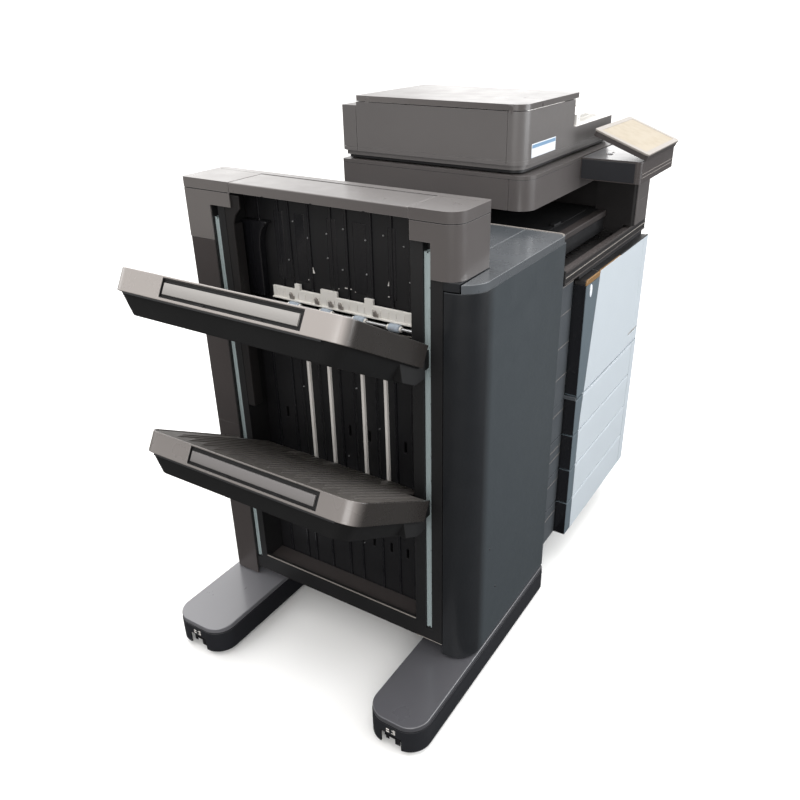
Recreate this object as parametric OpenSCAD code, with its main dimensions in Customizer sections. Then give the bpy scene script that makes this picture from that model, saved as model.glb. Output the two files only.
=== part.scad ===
// Floor-standing colour photocopier with a stapling finisher docked on its left.
// Right is +X, the operator stands on the -Y side, and the floor is z = 0.
// The drawing frame has x = 0 at the finisher's left face and y = 0 at its front door.
// place() moves it so that the origin is at the centre of the whole machine's floor area.

/* [Finisher] */
// Width of the finisher's cabinet
fin_w = 395; // [388:1:396]
// Depth of the finisher's cabinet
fin_d = 659; // [655:1:662]
// Height of the cabinet's top face
fin_top = 921; // [915:1:930]
// Height of the cabinet's lower edge
fin_base = 83; // [81:1:90]
// Radius of the front door's rounded left edge
door_round = 52; // [40:1:56]
// Width of the upper exit unit
unit_w = 117; // [112:1:124]
// Height of the upper exit unit's top face
unit_top = 1040; // [1036:1:1048]
// Distance of the upper exit unit behind the front door
unit_front = 34; // [32:1:40]

/* [Feet] */
// How far the feet stand out to the left of the cabinet
foot_reach = 205; // [200:1:220]
// Height of the feet's top face
foot_top = 79; // [76:1:80]
// Gap under the feet
foot_gap = 12; // [10:1:14]
// Width of the front foot
front_foot_w = 130; // [124:1:134]
// Width of the rear foot
rear_foot_w = 146; // [136:1:146]

/* [Stacking trays] */
// Slope of the trays, in degrees
tray_tilt = 29.5; // [28:0.5:30]
// How far a tray's upper edge stands out to the left of the cabinet
tray_reach = 250; // [240:1:256]
// Thickness of a tray's edge band
tray_band = 41; // [38:1:42]
// Height of the upper tray's outer edge
upper_tray_z = 940; // [930:1:944]
// Height of the lower tray's outer edge
lower_tray_z = 618; // [600:1:625]

/* [Main unit] */
// Left face of the main unit
main_x0 = 407; // [406:1:410]
// Width of the main unit
main_w = 561; // [561:1:563]
// Rear face of the main unit
main_y1 = 628; // [626:1:632]
// Height of the main unit's lower edge
main_base = 94; // [94:1:96]
// Height of the paper output deck
deck_z = 822; // [820:1:824]
// Height where the front door ends and the paper drawers begin
drawer_top = 490; // [486:1:490]
// Height of one paper drawer
drawer_h = 99; // [98:0.5:99]

/* [Scanner and feeder] */
// Lower face of the scanner
scan_z0 = 949; // [948:1:950]
// Upper face of the scanner
scan_z1 = 1021; // [1020:1:1021]
// Front face of the scanner
scan_y0 = 95; // [95:1:97]
// Front face of the document feeder
adf_y0 = 115; // [114:1:116]
// Top of the document feeder
adf_top = 1159; // [1158:1:1162]
// Right end of the document feeder's head
head_x1 = 684; // [680:1:686]

/* [Hidden] */
$fn = 64;

// Colours
ink = [0.12, 0.12, 0.13];
charcoal = [0.19, 0.20, 0.22];
slate = [0.31, 0.34, 0.36];
warm_grey = [0.42, 0.40, 0.39];
pale = [0.84, 0.86, 0.88];
cream = [0.85, 0.84, 0.79];
zinc = [0.54, 0.59, 0.58];
steel = [0.72, 0.73, 0.74];

// Wall of a moulded cover, and of a thin one
wall = 4;
skin = 3;
// Running clearance between a pin and its bore, on the radius
run = 0.05;
// Overshoot of a cut past the face it opens
over = 1;

// Machine outline, used to centre it on the origin
tray_tip = -tray_reach - tray_band * sin(tray_tilt);
main_x1 = main_x0 + main_w;
screen_y0 = -60;
rear_foot_y = [522, 522 + rear_foot_w];
front_foot_y = [-3, front_foot_w - 3];
centre_x = (tray_tip + main_x1) / 2;
centre_y = (screen_y0 + rear_foot_y[1]) / 2;

// Finisher
post_x = [4, 60];
front_post_y = [66, 130];
rear_post_y = [556, 600];
front_rail_y = 98;
rear_rail_y = 581;
rail_half = 7;
rail_slot = 7.5;
rail_z = [136, 967];
post_top = unit_top - 3;
wall_top = 1012;
bar_z = [104, 149];
bay_x = 30;
wall_x = [60, 66];
exit_axis = [40, 800];
exit_shaft_r = 3;
staple_z = 780;
staple_x = [200, 250];
staple_rod_r = 5;
fin_hinge = [386, 14];
lid_z = 1019;
lid_y = [130, 535];
jam_axis = [93.5, 1037];

// Trays
tray_y = [76, 574];
tray_front_x = -26;
tray_inner_x = 46;
tray_mid_y = [133, 553];

// Main unit
column_y = 22;
face_y = -9;
door_x = [513, 964];
front_x1 = 931;
door_top = 789;
door_axis = [-5, 496.5];
shelf_z = 492;
body_top = 800;
drawer_body_x = [440, 925];
drawer_depth = 470;
tower_y = 556;
column_x = [822, 920];
sill_y = [4, 20];
sill_top = 836;

// Feeder
feeder_axis = [583, 1034];
lid_axis = [414, 1154.5];
lid_knuckle = 3;
head_top = 1145.5;
head_rear = 527;
low_top = 1085;
feeder_x1 = 958;
feeder_y1 = 565;
doc_axis = [716, 1100];
doc_tilt = 5;
roller_axis = [620, 1120];
screen_axis = [-44, 1024];
screen_tilt = 20.3;
side_axis = [964.5, 473.5];
bypass_axis = [964.8, 525];

// Casters
caster_r = 19;
caster_z = 20;
caster_trail = 14;
caster_x = -155;
fixed_caster_x = 345;
front_caster_y = 62;
rear_caster_y = 595;
main_wheel_r = 32;
main_wheel_z = 33;
base_plate_z = [88, main_base];
rear_wall_y = [440, 443];
main_caster_x = [470, 905];
main_caster_front_y = 95;
main_caster_rear_y = 560;

// Helpers -------------------------------------------------------------

module place() translate([-centre_x, -centre_y, 0]) children();

// Box between two limits on each axis
module block(x, y, z)
    translate([x[0], y[0], z[0]])
        cube([x[1] - x[0], y[1] - y[0], z[1] - z[0]]);

module rod_x(x, y, z, r)
    translate([x[0], y, z]) rotate([0, 90, 0]) cylinder(h = x[1] - x[0], r = r);

module rod_y(x, y, z, r)
    translate([x, y[0], z]) rotate([-90, 0, 0]) cylinder(h = y[1] - y[0], r = r);

module rod_z(x, y, z, r)
    translate([x, y, z[0]]) cylinder(h = z[1] - z[0], r = r);

// Rectangle whose corners have their own radii: front left, front right, rear right, rear left
module outline(x, y, r) {
    polygon([[x[0] + r[0], y[0]], [x[1] - r[1], y[0]], [x[1], y[0] + r[1]], [x[1], y[1] - r[2]],
        [x[1] - r[2], y[1]], [x[0] + r[3], y[1]], [x[0], y[1] - r[3]], [x[0], y[0] + r[0]]]);
    if (r[0] > 0) translate([x[0] + r[0], y[0] + r[0]]) circle(r[0]);
    if (r[1] > 0) translate([x[1] - r[1], y[0] + r[1]]) circle(r[1]);
    if (r[2] > 0) translate([x[1] - r[2], y[1] - r[2]]) circle(r[2]);
    if (r[3] > 0) translate([x[0] + r[3], y[1] - r[3]]) circle(r[3]);
}

module slab(x, y, z, r)
    translate([0, 0, z[0]]) linear_extrude(z[1] - z[0]) outline(x, y, r);

// Profile in X and Z, drawn between two depths
module profile_y(y, points)
    translate([0, y[1], 0]) rotate([90, 0, 0]) linear_extrude(y[1] - y[0]) polygon(points);

// Finisher ------------------------------------------------------------

module post(y, rail_y, bore_y)
    difference() {
        block(post_x, y, [foot_top, post_top]);
        block([0, bay_x], [y[0] - over, y[1] + over], [foot_top - over, bar_z[0]]);
        block([0, 22], [rail_y - rail_slot, rail_y + rail_slot], [134, post_top + over]);
        for (z = [[140, 760], [840, 1010]])
            block([28, post_x[1] + over], [y[0] + wall, y[1] - wall], z);
        rod_y(exit_axis[0], bore_y, exit_axis[1], exit_shaft_r + run);
    }

module hinge_pin_bracket(z, pin) {
    block([376, 390], [8, 42], z);
    rod_z(fin_hinge[0], fin_hinge[1], pin, 3);
}

module finisher_frame() color(ink) {
    plate_y = [40, 42];
    plate_z = [84, 905];
    union() {
        block([bay_x, 388], [34, 640], [foot_top, 85]);
        for (y = [plate_y, [638, 640]]) {
            block([66, 388], y, plate_z);
            block([125, 388], y, [904, fin_top - wall]);
        }
        block([386, 388], [42, 638], [84, fin_top - wall]);
        post(front_post_y, front_rail_y, [118, front_post_y[1] + over]);
        post(rear_post_y, rear_rail_y, [rear_post_y[0] - over, 568]);
        // Cross bar with a shallow shelf behind it, between the posts
        block([4, 12], [front_post_y[1] - over, rear_post_y[0] + over], bar_z);
        block([11, 59.5], [front_post_y[1] - over, rear_post_y[0] + over], [132, 142]);
        block([bay_x, 66], [front_post_y[0], rear_post_y[1]], [84, 100]);
        block([60, 66], [66, 128], plate_z);
        block([60, 66], [558, 600], plate_z);
        hinge_pin_bracket([foot_top, 82.5], [82, 98]);
        hinge_pin_bracket([905, 908.5], [890, 906]);
    }
    for (x = staple_x) rod_y(x, [42, 638], staple_z, staple_rod_r);
}

// Long foot with a rounded outer end, open underneath for its casters
module foot(y, centre) {
    bay_z = [foot_gap - over, foot_top - wall];
    inner_y = [y[0] + wall, y[1] - wall];
    end_round = 46;
    difference() {
        slab([-foot_reach, 392], y, [foot_gap, foot_top], [end_round, 8, 8, end_round]);
        slab([-foot_reach + wall, -108], inner_y, bay_z,
            [end_round - wall, 0, 0, end_round - wall]);
        block([-102, 292], inner_y, bay_z);
        block([298, 388], inner_y, bay_z);
        block([-foot_reach - over, -foot_reach + 30], [centre - 24, centre + 24],
            [foot_gap - over, foot_top - 36]);
    }
    difference() {
        rod_z(caster_x, centre, [58, foot_top - wall], 11);
        rod_z(caster_x, centre, [57, foot_top - wall - over], 4 + run);
    }
    for (x = [-70, 262]) difference() {
        rod_z(x, centre, [40, foot_top - wall], 12);
        rod_z(x, centre, [39, 70], 5 + run);
    }
    // Fixed caster bracket at the inner end
    for (side = [-1, 1])
        block([fixed_caster_x - 11, fixed_caster_x + 11],
            side > 0 ? [centre + 10, centre + 13] : [centre - 13, centre - 10],
            [caster_z - 8, foot_top - wall]);
    rod_y(fixed_caster_x, [centre - 12, centre + 12], caster_z, 3);
}

module finisher_front_foot() color(charcoal) foot(front_foot_y, front_caster_y);

module finisher_rear_foot() color(charcoal) foot(rear_foot_y, rear_caster_y);

module finisher_rear_cover() color(warm_grey)
    difference() {
        union() {
            slab([0, fin_w], [590, fin_d], [fin_base, 905], [0, 0, 6, 10]);
            slab([0, unit_w - 1], [590, fin_d], [905, fin_top], [0, 0, 0, 10]);
        }
        block([wall, fin_w - wall], [590 - over, fin_d - wall], [fin_base - over, fin_top + over]);
    }

module finisher_top_cover() color(slate)
    difference() {
        slab([0, fin_w], [0, fin_d], [905, fin_top], [door_round, 8, 6, 0]);
        block([-over, unit_w], [unit_front, fin_d + over], [904, fin_top + over]);
        slab([wall, fin_w - wall], [wall, unit_front], [904, fin_top - wall],
            [door_round - 24, 0, 0, 0]);
        block([unit_w + wall, fin_w - wall], [unit_front - over, fin_d - wall],
            [904, fin_top - wall]);
    }

module finisher_front_door() color(slate)
    difference() {
        union() {
            difference() {
                slab([0, fin_w - 1], [0, 62], [fin_base, 904], [door_round, 6, 0, 0]);
                slab([wall, fin_w - 1 - wall], [wall, 62 + over], [fin_base - over, 905],
                    [door_round - wall, 2, 0, 0]);
                block([300, fin_w], [24, 62 + over], [fin_base - over, 905]);
                block([-over, 120], [62, 120], [fin_base - over, 905]);
            }
            for (z = [[84, 100], [888, 903.5]]) {
                rod_z(fin_hinge[0], fin_hinge[1], z, 7);
                block([379, 390.5], [2, fin_hinge[1]], z);
            }
        }
        rod_z(fin_hinge[0], fin_hinge[1], [fin_base, 101], 3 + run);
        rod_z(fin_hinge[0], fin_hinge[1], [887, 905], 3 + run);
    }

module upper_unit_housing() color(warm_grey) {
    inner = unit_top - skin;
    difference() {
        slab([0, unit_w], [unit_front, fin_d - 1], [fin_top + 1, unit_top], [32, 6, 6, 6]);
        slab([skin, unit_w - skin], [unit_front + skin, fin_d - 1 - skin], [fin_top, inner],
            [29, 3, 3, 3]);
        block([-over, jam_axis[0] + 4], lid_y, [lid_z - 0.5, unit_top + over]);
        block([-over, skin + 0.5], lid_y, [fin_top, lid_z]);
        block([-over, skin + 0.5], [88, lid_y[0] + over], [fin_top, 985]);
        block([-over, skin + 0.5], [lid_y[1] - over, 590], [fin_top, 992]);
    }
    // Ears and pins of the jam cover
    for (y = [[126, 130], [535, 539]])
        block([88, 98], y, [1030, inner + 1]);
    rod_y(jam_axis[0], [127, 140], jam_axis[1], 1.5);
    rod_y(jam_axis[0], [525, 538], jam_axis[1], 1.5);
}

module upper_jam_cover() color(warm_grey)
    difference() {
        union() {
            block([0, jam_axis[0]], [131, 534], [jam_axis[1], unit_top]);
            block([0, skin], [131, 534], [lid_z + 0.5, unit_top]);
            block([0, 86], [180, 183], [lid_z + 8, unit_top - 1]);
            block([0, 86], [482, 485], [lid_z + 8, unit_top - 1]);
            rod_y(jam_axis[0], [131, 534], jam_axis[1], 3);
        }
        rod_y(jam_axis[0], [130, 141], jam_axis[1], 1.5 + run);
        rod_y(jam_axis[0], [524, 535], jam_axis[1], 1.5 + run);
    }

// Black wall behind the stacked paper, with upright ribs and the exit slot
module stack_wall() color(ink)
    difference() {
        union() {
            block(wall_x, [131, 555], [100, wall_top]);
            for (y = [165, 205, 250, 306, 342, 395, 444, 470, 520])
                block([wall_x[0] - skin, wall_x[0]], [y - 2, y + 2], [143, wall_top]);
        }
        block([wall_x[0] - 5, wall_x[1] + over], [140, 500], [786, 804]);
        for (y = [185, 228, 274, 324, 368, 420, 495])
            for (z = [250, 560, 700, 880])
                block([wall_x[0] - over, wall_x[1] + over], [y - 5, y + 5], [z, z + 34]);
    }

// Pale guide strips down the wall, and the cream plate over the exit slot
module exit_guides() color(cream) {
    for (y = [227, 283, 367, 421])
        block([54, 60], [y - 5, y + 5], [400, 782]);
    plate_x = [50, 56];
    block(plate_x, [148, 492], [806, 830]);
    for (tab = [[428, 7], [350, 20], [255, 10]])
        block(plate_x, [tab[0] - tab[1], tab[0] + tab[1]], [830, 842]);
    for (y = [176, 292, 456])
        block([56, 60], [y - 4, y + 4], [812, 824]);
}

module exit_rollers() color(steel) {
    rod_y(exit_axis[0], [119, 567], exit_axis[1], exit_shaft_r);
    for (y = [178, 258, 338, 418])
        rod_y(exit_axis[0], [y, y + 24], exit_axis[1], 8);
}

// U-shaped steel channel, open towards the trays
module rail(y)
    difference() {
        block([8, 22], [y - rail_half, y + rail_half], rail_z);
        block([7, 20.5], [y - rail_half + 1.5, y + rail_half - 1.5],
            [rail_z[0] - over, rail_z[1] + over]);
    }

module lift_rails() color(zinc) {
    rail(front_rail_y);
    rail(rear_rail_y);
}

// Sloping paper tray that climbs the two rails. z is the height of its outer edge.
module stack_tray(z) {
    rise = tan(tray_tilt);
    band_y = [154, 452];
    pan_x = [28, 262];
    arm_half = 5;
    inner_z = z - (tray_reach + tray_front_x) * rise;
    difference() {
        union() {
            difference() {
                translate([-tray_reach, 0, z]) rotate([0, tray_tilt, 0]) difference() {
                    union() {
                        slab([0, 400], tray_y, [-tray_band, 0], [34, 0, 0, 34]);
                        slab(pan_x, [104, 546], [-76, -tray_band + over], [30, 12, 12, 30]);
                    }
                    block([skin, 420], [tray_y[0] + skin, tray_y[1] - skin],
                        [-tray_band + skin, -skin]);
                    block([pan_x[0] + skin, pan_x[1] - skin], [130, 520], [-73, -20]);
                    block([-over, 2.5], band_y, [-33, -4]);
                }
                block([tray_front_x, 200], [0, tray_mid_y[0]], [z - 400, z + 100]);
                block([tray_front_x, 200], [tray_mid_y[1], 700], [z - 400, z + 100]);
                block([tray_inner_x, 200], [100, 600], [z - 400, z + 100]);
            }
            // Inset grip strip in the outer band
            translate([-tray_reach, 0, z]) rotate([0, tray_tilt, 0])
                block([0.6, skin], [band_y[0] + 4, band_y[1] - 4], [-27, -9]);
            // Carrier brackets beside the rails
            for (y = [[86, 110], [540, 562]])
                profile_y(y, [[-112, z - 194], [-60, z - 213], [tray_front_x, z - 213],
                    [tray_front_x, inner_z - 20], [-112, inner_z + 30]]);
            for (y = [front_rail_y, rear_rail_y])
                block([-60, 19.5], [y - arm_half, y + arm_half], [z - 200, inner_z - 32]);
            block([-60, tray_front_x], [555, 586], [z - 200, inner_z - 32]);
        }
        // The slab's inner end stands clear of the exit rollers
        rod_y(exit_axis[0], [tray_mid_y[0] - over, tray_mid_y[1] + over], z - 140, 11);
    }
}

module upper_tray() color(charcoal) stack_tray(upper_tray_z);

module lower_tray() color(charcoal) stack_tray(lower_tray_z);

// Stapling head that travels along two rods
module stapler() color(charcoal) {
    z = [staple_z - 38, staple_z + 46];
    difference() {
        union() {
            block([178, 272], [120, 184], z);
            block([150, 178], [134, 170], [z[0] + 20, z[1] - 24]);
        }
        for (x = staple_x) rod_y(x, [119, 185], staple_z, staple_rod_r + run);
    }
}

// Casters -------------------------------------------------------------

// Swivelling fork. top is the underside of its mounting, stem the top of its spindle.
module fork(x, y, top, stem, axle_z, wheel_half, trail, pin_r) {
    plate = [top - 5, top - 1];
    reach = 9;
    rod_z(x, y, [plate[1] - over, stem], 4);
    block([x - 12, x + trail + reach], [y - wheel_half - 4, y + wheel_half + 4], plate);
    for (side = [[y - wheel_half - 4, y - wheel_half - 1], [y + wheel_half + 1, y + wheel_half + 4]])
        block([x + trail - reach, x + trail + reach], side, [axle_z - 8, plate[1]]);
    rod_y(x + trail, [y - wheel_half - 3, y + wheel_half + 3], axle_z, pin_r);
}

module wheel(x, y, z, r, half, pin_r)
    difference() {
        rod_y(x, [y - half, y + half], z, r);
        rod_y(x, [y - half - over, y + half + over], z, pin_r + run);
        for (end = [[y - half - over, y - half + 2], [y + half - 2, y + half + over]])
            difference() {
                rod_y(x, end, z, r - 6);
                rod_y(x, end, z, pin_r + 4);
            }
    }

module small_fork(y) color(zinc) fork(caster_x, y, 57, 73, caster_z, 8, caster_trail, 3);

module fork_front_left() small_fork(front_caster_y);

module fork_rear_left() small_fork(rear_caster_y);

module small_wheel(x, y) color(ink) wheel(x, y, caster_z, caster_r, 8, 3);

module wheel_front_left() small_wheel(caster_x + caster_trail, front_caster_y);

module wheel_rear_left() small_wheel(caster_x + caster_trail, rear_caster_y);

module wheel_front_right() small_wheel(fixed_caster_x, front_caster_y);

module wheel_rear_right() small_wheel(fixed_caster_x, rear_caster_y);

module main_fork(x) color(zinc)
    fork(x, main_caster_front_y, 87, 93, main_wheel_z, 11, 18, 4);

module main_fork_left() main_fork(main_caster_x[0]);

module main_fork_right() main_fork(main_caster_x[1]);

module main_wheel(x, y) color(ink) wheel(x, y, main_wheel_z, main_wheel_r, 11, 4);

module main_wheel_front_left() main_wheel(main_caster_x[0] + 18, main_caster_front_y);

module main_wheel_front_right() main_wheel(main_caster_x[1] + 18, main_caster_front_y);

module main_wheel_rear_left() main_wheel(main_caster_x[0], main_caster_rear_y);

module main_wheel_rear_right() main_wheel(main_caster_x[1], main_caster_rear_y);

module levelling_foot(x, y, stud_top) {
    rod_z(x, y, [0, 7], 17);
    rod_z(x, y, [6, 13], 9);
    rod_z(x, y, [12, stud_top], 5);
}

module levelling_feet() color(charcoal) {
    for (x = [-70, 262])
        for (y = [front_caster_y, rear_caster_y])
            levelling_foot(x, y, 69);
    for (x = [535, 845])
        for (y = [95, 560])
            levelling_foot(x, y, 93);
}

// Main unit -----------------------------------------------------------

module main_frame() color(zinc)
    difference() {
        union() {
            block([408, 967], [30, 627], base_plate_z);
            block([412, 415], [46, 622], [main_base, body_top]);
            block([958, 961], [46, 622], [main_base, body_top]);
            block([412, 961], [619, 622], [main_base, body_top]);
            block([412, 961], [46, 622], [shelf_z, shelf_z + skin]);
            block([412, 961], rear_wall_y, [shelf_z, body_top]);
            for (i = [0 : 3]) {
                z = drawer_top - (i + 1) * drawer_h + 4;
                block([413, 452], [46, 600], [z, z + 2]);
                block([913, 960], [46, 600], [z, z + 2]);
            }
            for (x = [[430, 470], [880, 915]])
                block(x, [575, 622], [body_top - over, scan_z0]);
            // Fixed brackets of the rear casters
            for (x = main_caster_x) {
                for (side = [-1, 1])
                    block([x - 13, x + 13],
                        side > 0 ? [main_caster_rear_y + 13, main_caster_rear_y + 16]
                            : [main_caster_rear_y - 16, main_caster_rear_y - 13],
                        [main_wheel_z - 9, base_plate_z[0] + over]);
                rod_y(x, [main_caster_rear_y - 15, main_caster_rear_y + 15], main_wheel_z, 4);
            }
        }
        block([950, 970], [60, 490], [498, 796]);
        for (x = main_caster_x)
            rod_z(x, main_caster_front_y, [87, 95], 4 + run);
        for (x = [535, 845])
            for (y = [95, 560])
                rod_z(x, y, [87, 95], 5 + run);
    }

// Left side with the fixed upper part of the recessed front column
module main_left_cover() color(slate) {
    difference() {
        slab([main_x0, 511], [column_y, 624], [drawer_top + over, body_top], [8, 0, 0, 3]);
        block([main_x0 + wall, 512], [column_y + wall, 625], [drawer_top, body_top + over]);
    }
    block([main_x0, main_x0 + wall], [column_y + 8, 624], [main_base, drawer_top + over]);
    // Front door's left hinge pin
    block([507, 511.5], [-8, column_y + 2], [drawer_top + 2, drawer_top + 10]);
    rod_x([508, 524], door_axis[0], door_axis[1], 2);
}

// Right side, its pale front corner and the opening of the side door
module main_right_cover() color(pale) {
    x = [964, main_x1];
    difference() {
        union() {
            block(x, [column_y, 624], [main_base, body_top]);
            block([front_x1 + 2, main_x1], [face_y, column_y + wall], [main_base + 3, drawer_top - 1]);
            block([965.5, main_x1], [-8, column_y + wall], [drawer_top - 2, drawer_top + 10]);
        }
        block([963, main_x1 + over], [70, 478], [500, 795]);
        block([front_x1 + 6, main_x1 - wall], [face_y + wall, column_y + wall + over],
            [main_base + 6, drawer_top - 5]);
    }
    rod_x([953, 967], door_axis[0], door_axis[1], 2);
    for (z = [[494, 512], [783, 799]])
        rod_z(side_axis[0], side_axis[1], z, 1.5);
    for (z = [[494, 500], [795, 799]])
        block([962, 966], [side_axis[1] - 4, side_axis[1] + 6], z);
}

// Rear side and the tower that carries the scanner, with cooling slots
module main_rear_cover() color(warm_grey)
    difference() {
        union() {
            block([main_x0, main_x1], [624, main_y1], [main_base, deck_z]);
            slab([main_x0, column_x[1]], [tower_y, main_y1], [deck_z, scan_z0], [4, 0, 6, 6]);
        }
        block([main_x0 + wall, column_x[1] - wall], [tower_y + wall, 624.5],
            [deck_z - over, scan_z0 + over]);
        for (x = [480 : 14 : 620])
            block([x, x + 6], [623, main_y1 + over], [640, 740]);
        for (x = [720 : 14 : 860])
            block([x, x + 6], [623, main_y1 + over], [300, 380]);
    }

// Column at the right of the paper output space, under the control panel
module right_column() color(charcoal)
    difference() {
        union() {
            slab(column_x, [face_y, 94], [deck_z, 970], [10, 8, 0, 0]);
            block([850, column_x[1]], [93, tower_y], [deck_z, scan_z0]);
        }
        block([column_x[0] + wall, column_x[1] - wall], [face_y + wall, 90], [deck_z - over, 965]);
        // Step that clears the deck's sill
        block([column_x[0] - over, column_x[1] + over], [face_y - over, sill_y[1] + 0.5],
            [deck_z - over, sill_top + 6]);
        block([854, column_x[1] - wall], [98, tower_y - 5], [deck_z - over, scan_z0 - 5]);
        block([849, 856], [150, 500], [858, 872]);
    }

// Deck under the scanner, with a front sill and the shallow well that printed sheets land in
module output_deck() color(charcoal)
    difference() {
        union() {
            slab([main_x0, main_x1], [12, 623.5], [body_top, deck_z], [10, 10, 0, 0]);
            // Raised sill along the front edge
            slab([main_x0 + 3, main_x1 - 2], sill_y, [body_top + 4, sill_top], [3, 3, 3, 3]);
        }
        slab([430, 815], [36, 540], [deck_z - 12, deck_z + over], [12, 12, 12, 12]);
        block([411, 964], [30, 619], [body_top - over, body_top + 5]);
        block([428, 478], [tower_y + wall, 624], [body_top - over, deck_z + over]);
        block([878, 917], [tower_y + wall, 624], [body_top - over, deck_z + over]);
    }

// Lower edge hinged door over the toner compartment
module front_door() color(pale)
    difference() {
        union() {
            difference() {
                slab(door_x, [face_y, column_y - 0.5], [drawer_top + 3, door_top], [4, 6, 0, 0]);
                block([door_x[0] + wall, door_x[1] - wall], [face_y + wall, column_y],
                    [drawer_top + 7, door_top - wall]);
            }
            for (x = [[door_x[0], 526], [951, door_x[1]]])
                block(x, [face_y + 1, 2], [drawer_top + 3.5, 504]);
        }
        rod_x([door_x[0] - over, 525], door_axis[0], door_axis[1], 2 + run);
        rod_x([952, door_x[1] + over], door_axis[0], door_axis[1], 2 + run);
        // Grip recess at the lower right
        block([884, 960], [face_y - over, face_y + 3], [528, 536]);
    }

// Paper drawer: an open tray behind a stepped front
module drawer(index) {
    z = [drawer_top - (index + 1) * drawer_h + 3, drawer_top - index * drawer_h];
    body_z = [z[0] + 4, z[1] - 22];
    // Fence positions for the paper in the drawer
    difference() {
        union() {
            block([door_x[0], front_x1], [face_y, column_y], z);
            block([412, front_x1], [column_y, column_y + 6], z);
            block(drawer_body_x, [column_y + 5, drawer_depth], body_z);
        }
        block([door_x[0] + wall, front_x1 - wall], [face_y + wall, column_y],
            [z[0] + wall, z[1] - 20]);
        block([drawer_body_x[0] + skin, drawer_body_x[1] - skin], [column_y + 6, drawer_depth - skin],
            [body_z[0] + skin, body_z[1] + over]);
        // Finger grip behind the upper edge
        block([660, 800], [face_y + 5, column_y + over], [z[1] - 14, z[1] + over]);
    }
    // Fences that hold the paper's edges
    block([490, 494], [column_y + 60, 380], [body_z[0] + skin, body_z[1] - 4]);
    block([700, 760], [396, 400], [body_z[0] + skin, body_z[1] - 4]);
}

module drawer_1() color(pale) drawer(0);

module drawer_2() color(pale) drawer(1);

module drawer_3() color(pale) drawer(2);

module drawer_4() color(pale) drawer(3);

// Scanner -------------------------------------------------------------

module scanner_housing() color(warm_grey) {
    difference() {
        slab([main_x0, 966], [scan_y0, 600], [scan_z0, scan_z1], [38, 12, 6, 6]);
        slab([main_x0 + skin, 963], [scan_y0 + skin, 597], [scan_z0 + skin, scan_z1 - 5],
            [35, 9, 3, 3]);
        block([440, 930], [150, 530], [scan_z1 - 4, scan_z1 + over]);
        block([446, 924], [156, 524], [scan_z1 - 6, scan_z1 + over]);
    }
    rod_x([409, 964], 330, 975, 4);
    // Hinge posts of the document feeder
    for (x = [480, 840]) {
        block([x, x + 40], [573, 593], [scan_z1 - over, feeder_axis[1]]);
        rod_x([x, x + 40], feeder_axis[0], feeder_axis[1], 8);
        rod_x([x - 10, x + 50], feeder_axis[0], feeder_axis[1], 4);
    }
}

module platen_glass() color([0.75, 0.85, 0.85, 0.5])
    block([440.5, 929.5], [150.5, 529.5], [scan_z1 - 4, scan_z1]);

module scan_carriage() color(ink)
    difference() {
        union() {
            block([430, 472], [125, 535], [988, 1008]);
            block([435, 467], [316, 344], [964, 989]);
        }
        rod_x([429, 473], 330, 975, 4 + run);
        block([446, 456], [135, 525], [1004, 1009]);
    }

// Document feeder -----------------------------------------------------

module feeder_ear(x) {
    block([x, x + 9], [560, feeder_axis[0]], [feeder_axis[1] - 6, 1048]);
    rod_x([x, x + 9], feeder_axis[0], feeder_axis[1], 9);
}

module feeder_base() color(warm_grey)
    difference() {
        union() {
            difference() {
                union() {
                    slab([419, 950], [123, 557], [scan_z1 + 2, 1039], [28, 14, 4, 4]);
                    slab([410, feeder_x1], [adf_y0, feeder_y1], [1038, low_top], [34, 20, 6, 6]);
                    slab([410, head_x1], [adf_y0, head_rear], [low_top - over, head_top],
                        [34, 0, 0, 0]);
                    block([410, 706], [head_rear - over, feeder_y1], [low_top - over, 1138]);
                }
                slab([414, head_x1 - wall], [adf_y0 + wall, head_rear - wall], [1060, adf_top],
                    [30, 0, 0, 0]);
                block([414, 702], [head_rear + 2, feeder_y1 - wall], [1060, 1134]);
                block([head_x1 - 5, head_x1 + over], [140, 505], [1096, adf_top]);
                slab([700, feeder_x1 - wall], [adf_y0 + wall, feeder_y1 - wall], [1076, 1090],
                    [0, 16, 2, 0]);
                block([head_x1 - wall - over, 701], [140, 505], [1076, 1090]);
            }
            for (x = [469.5, 521.5, 829.5, 881.5]) feeder_ear(x);
            // Bearing ribs of the feed roller
            for (y = [[adf_y0 + 3, 128], [514, head_rear - 3]])
                block([606, 634], y, [1056, 1132]);
            // Ears of the document tray
            for (y = [[118, 128], [522, 532]])
                block([706, 726], y, [1070, 1110]);
            // Ears of the top cover
            for (y = [[142, 149], [493, 500]]) {
                block([lid_axis[0] - lid_knuckle, lid_axis[0] + lid_knuckle], y,
                    [1140, lid_axis[1]]);
                rod_y(lid_axis[0], y, lid_axis[1], lid_knuckle);
            }
            rod_y(lid_axis[0], [143, 160], lid_axis[1], 1.5);
            rod_y(lid_axis[0], [482, 499], lid_axis[1], 1.5);
        }
        for (x = [469.5, 521.5, 829.5, 881.5])
            rod_x([x - over, x + 10], feeder_axis[0], feeder_axis[1], 4 + run);
        rod_y(roller_axis[0], [120, 129], roller_axis[1], 3 + run);
        rod_y(roller_axis[0], [513, 522], roller_axis[1], 3 + run);
        rod_y(doc_axis[0], [120, 129], doc_axis[1], 3 + run);
        rod_y(doc_axis[0], [521, 530], doc_axis[1], 3 + run);
    }

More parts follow.
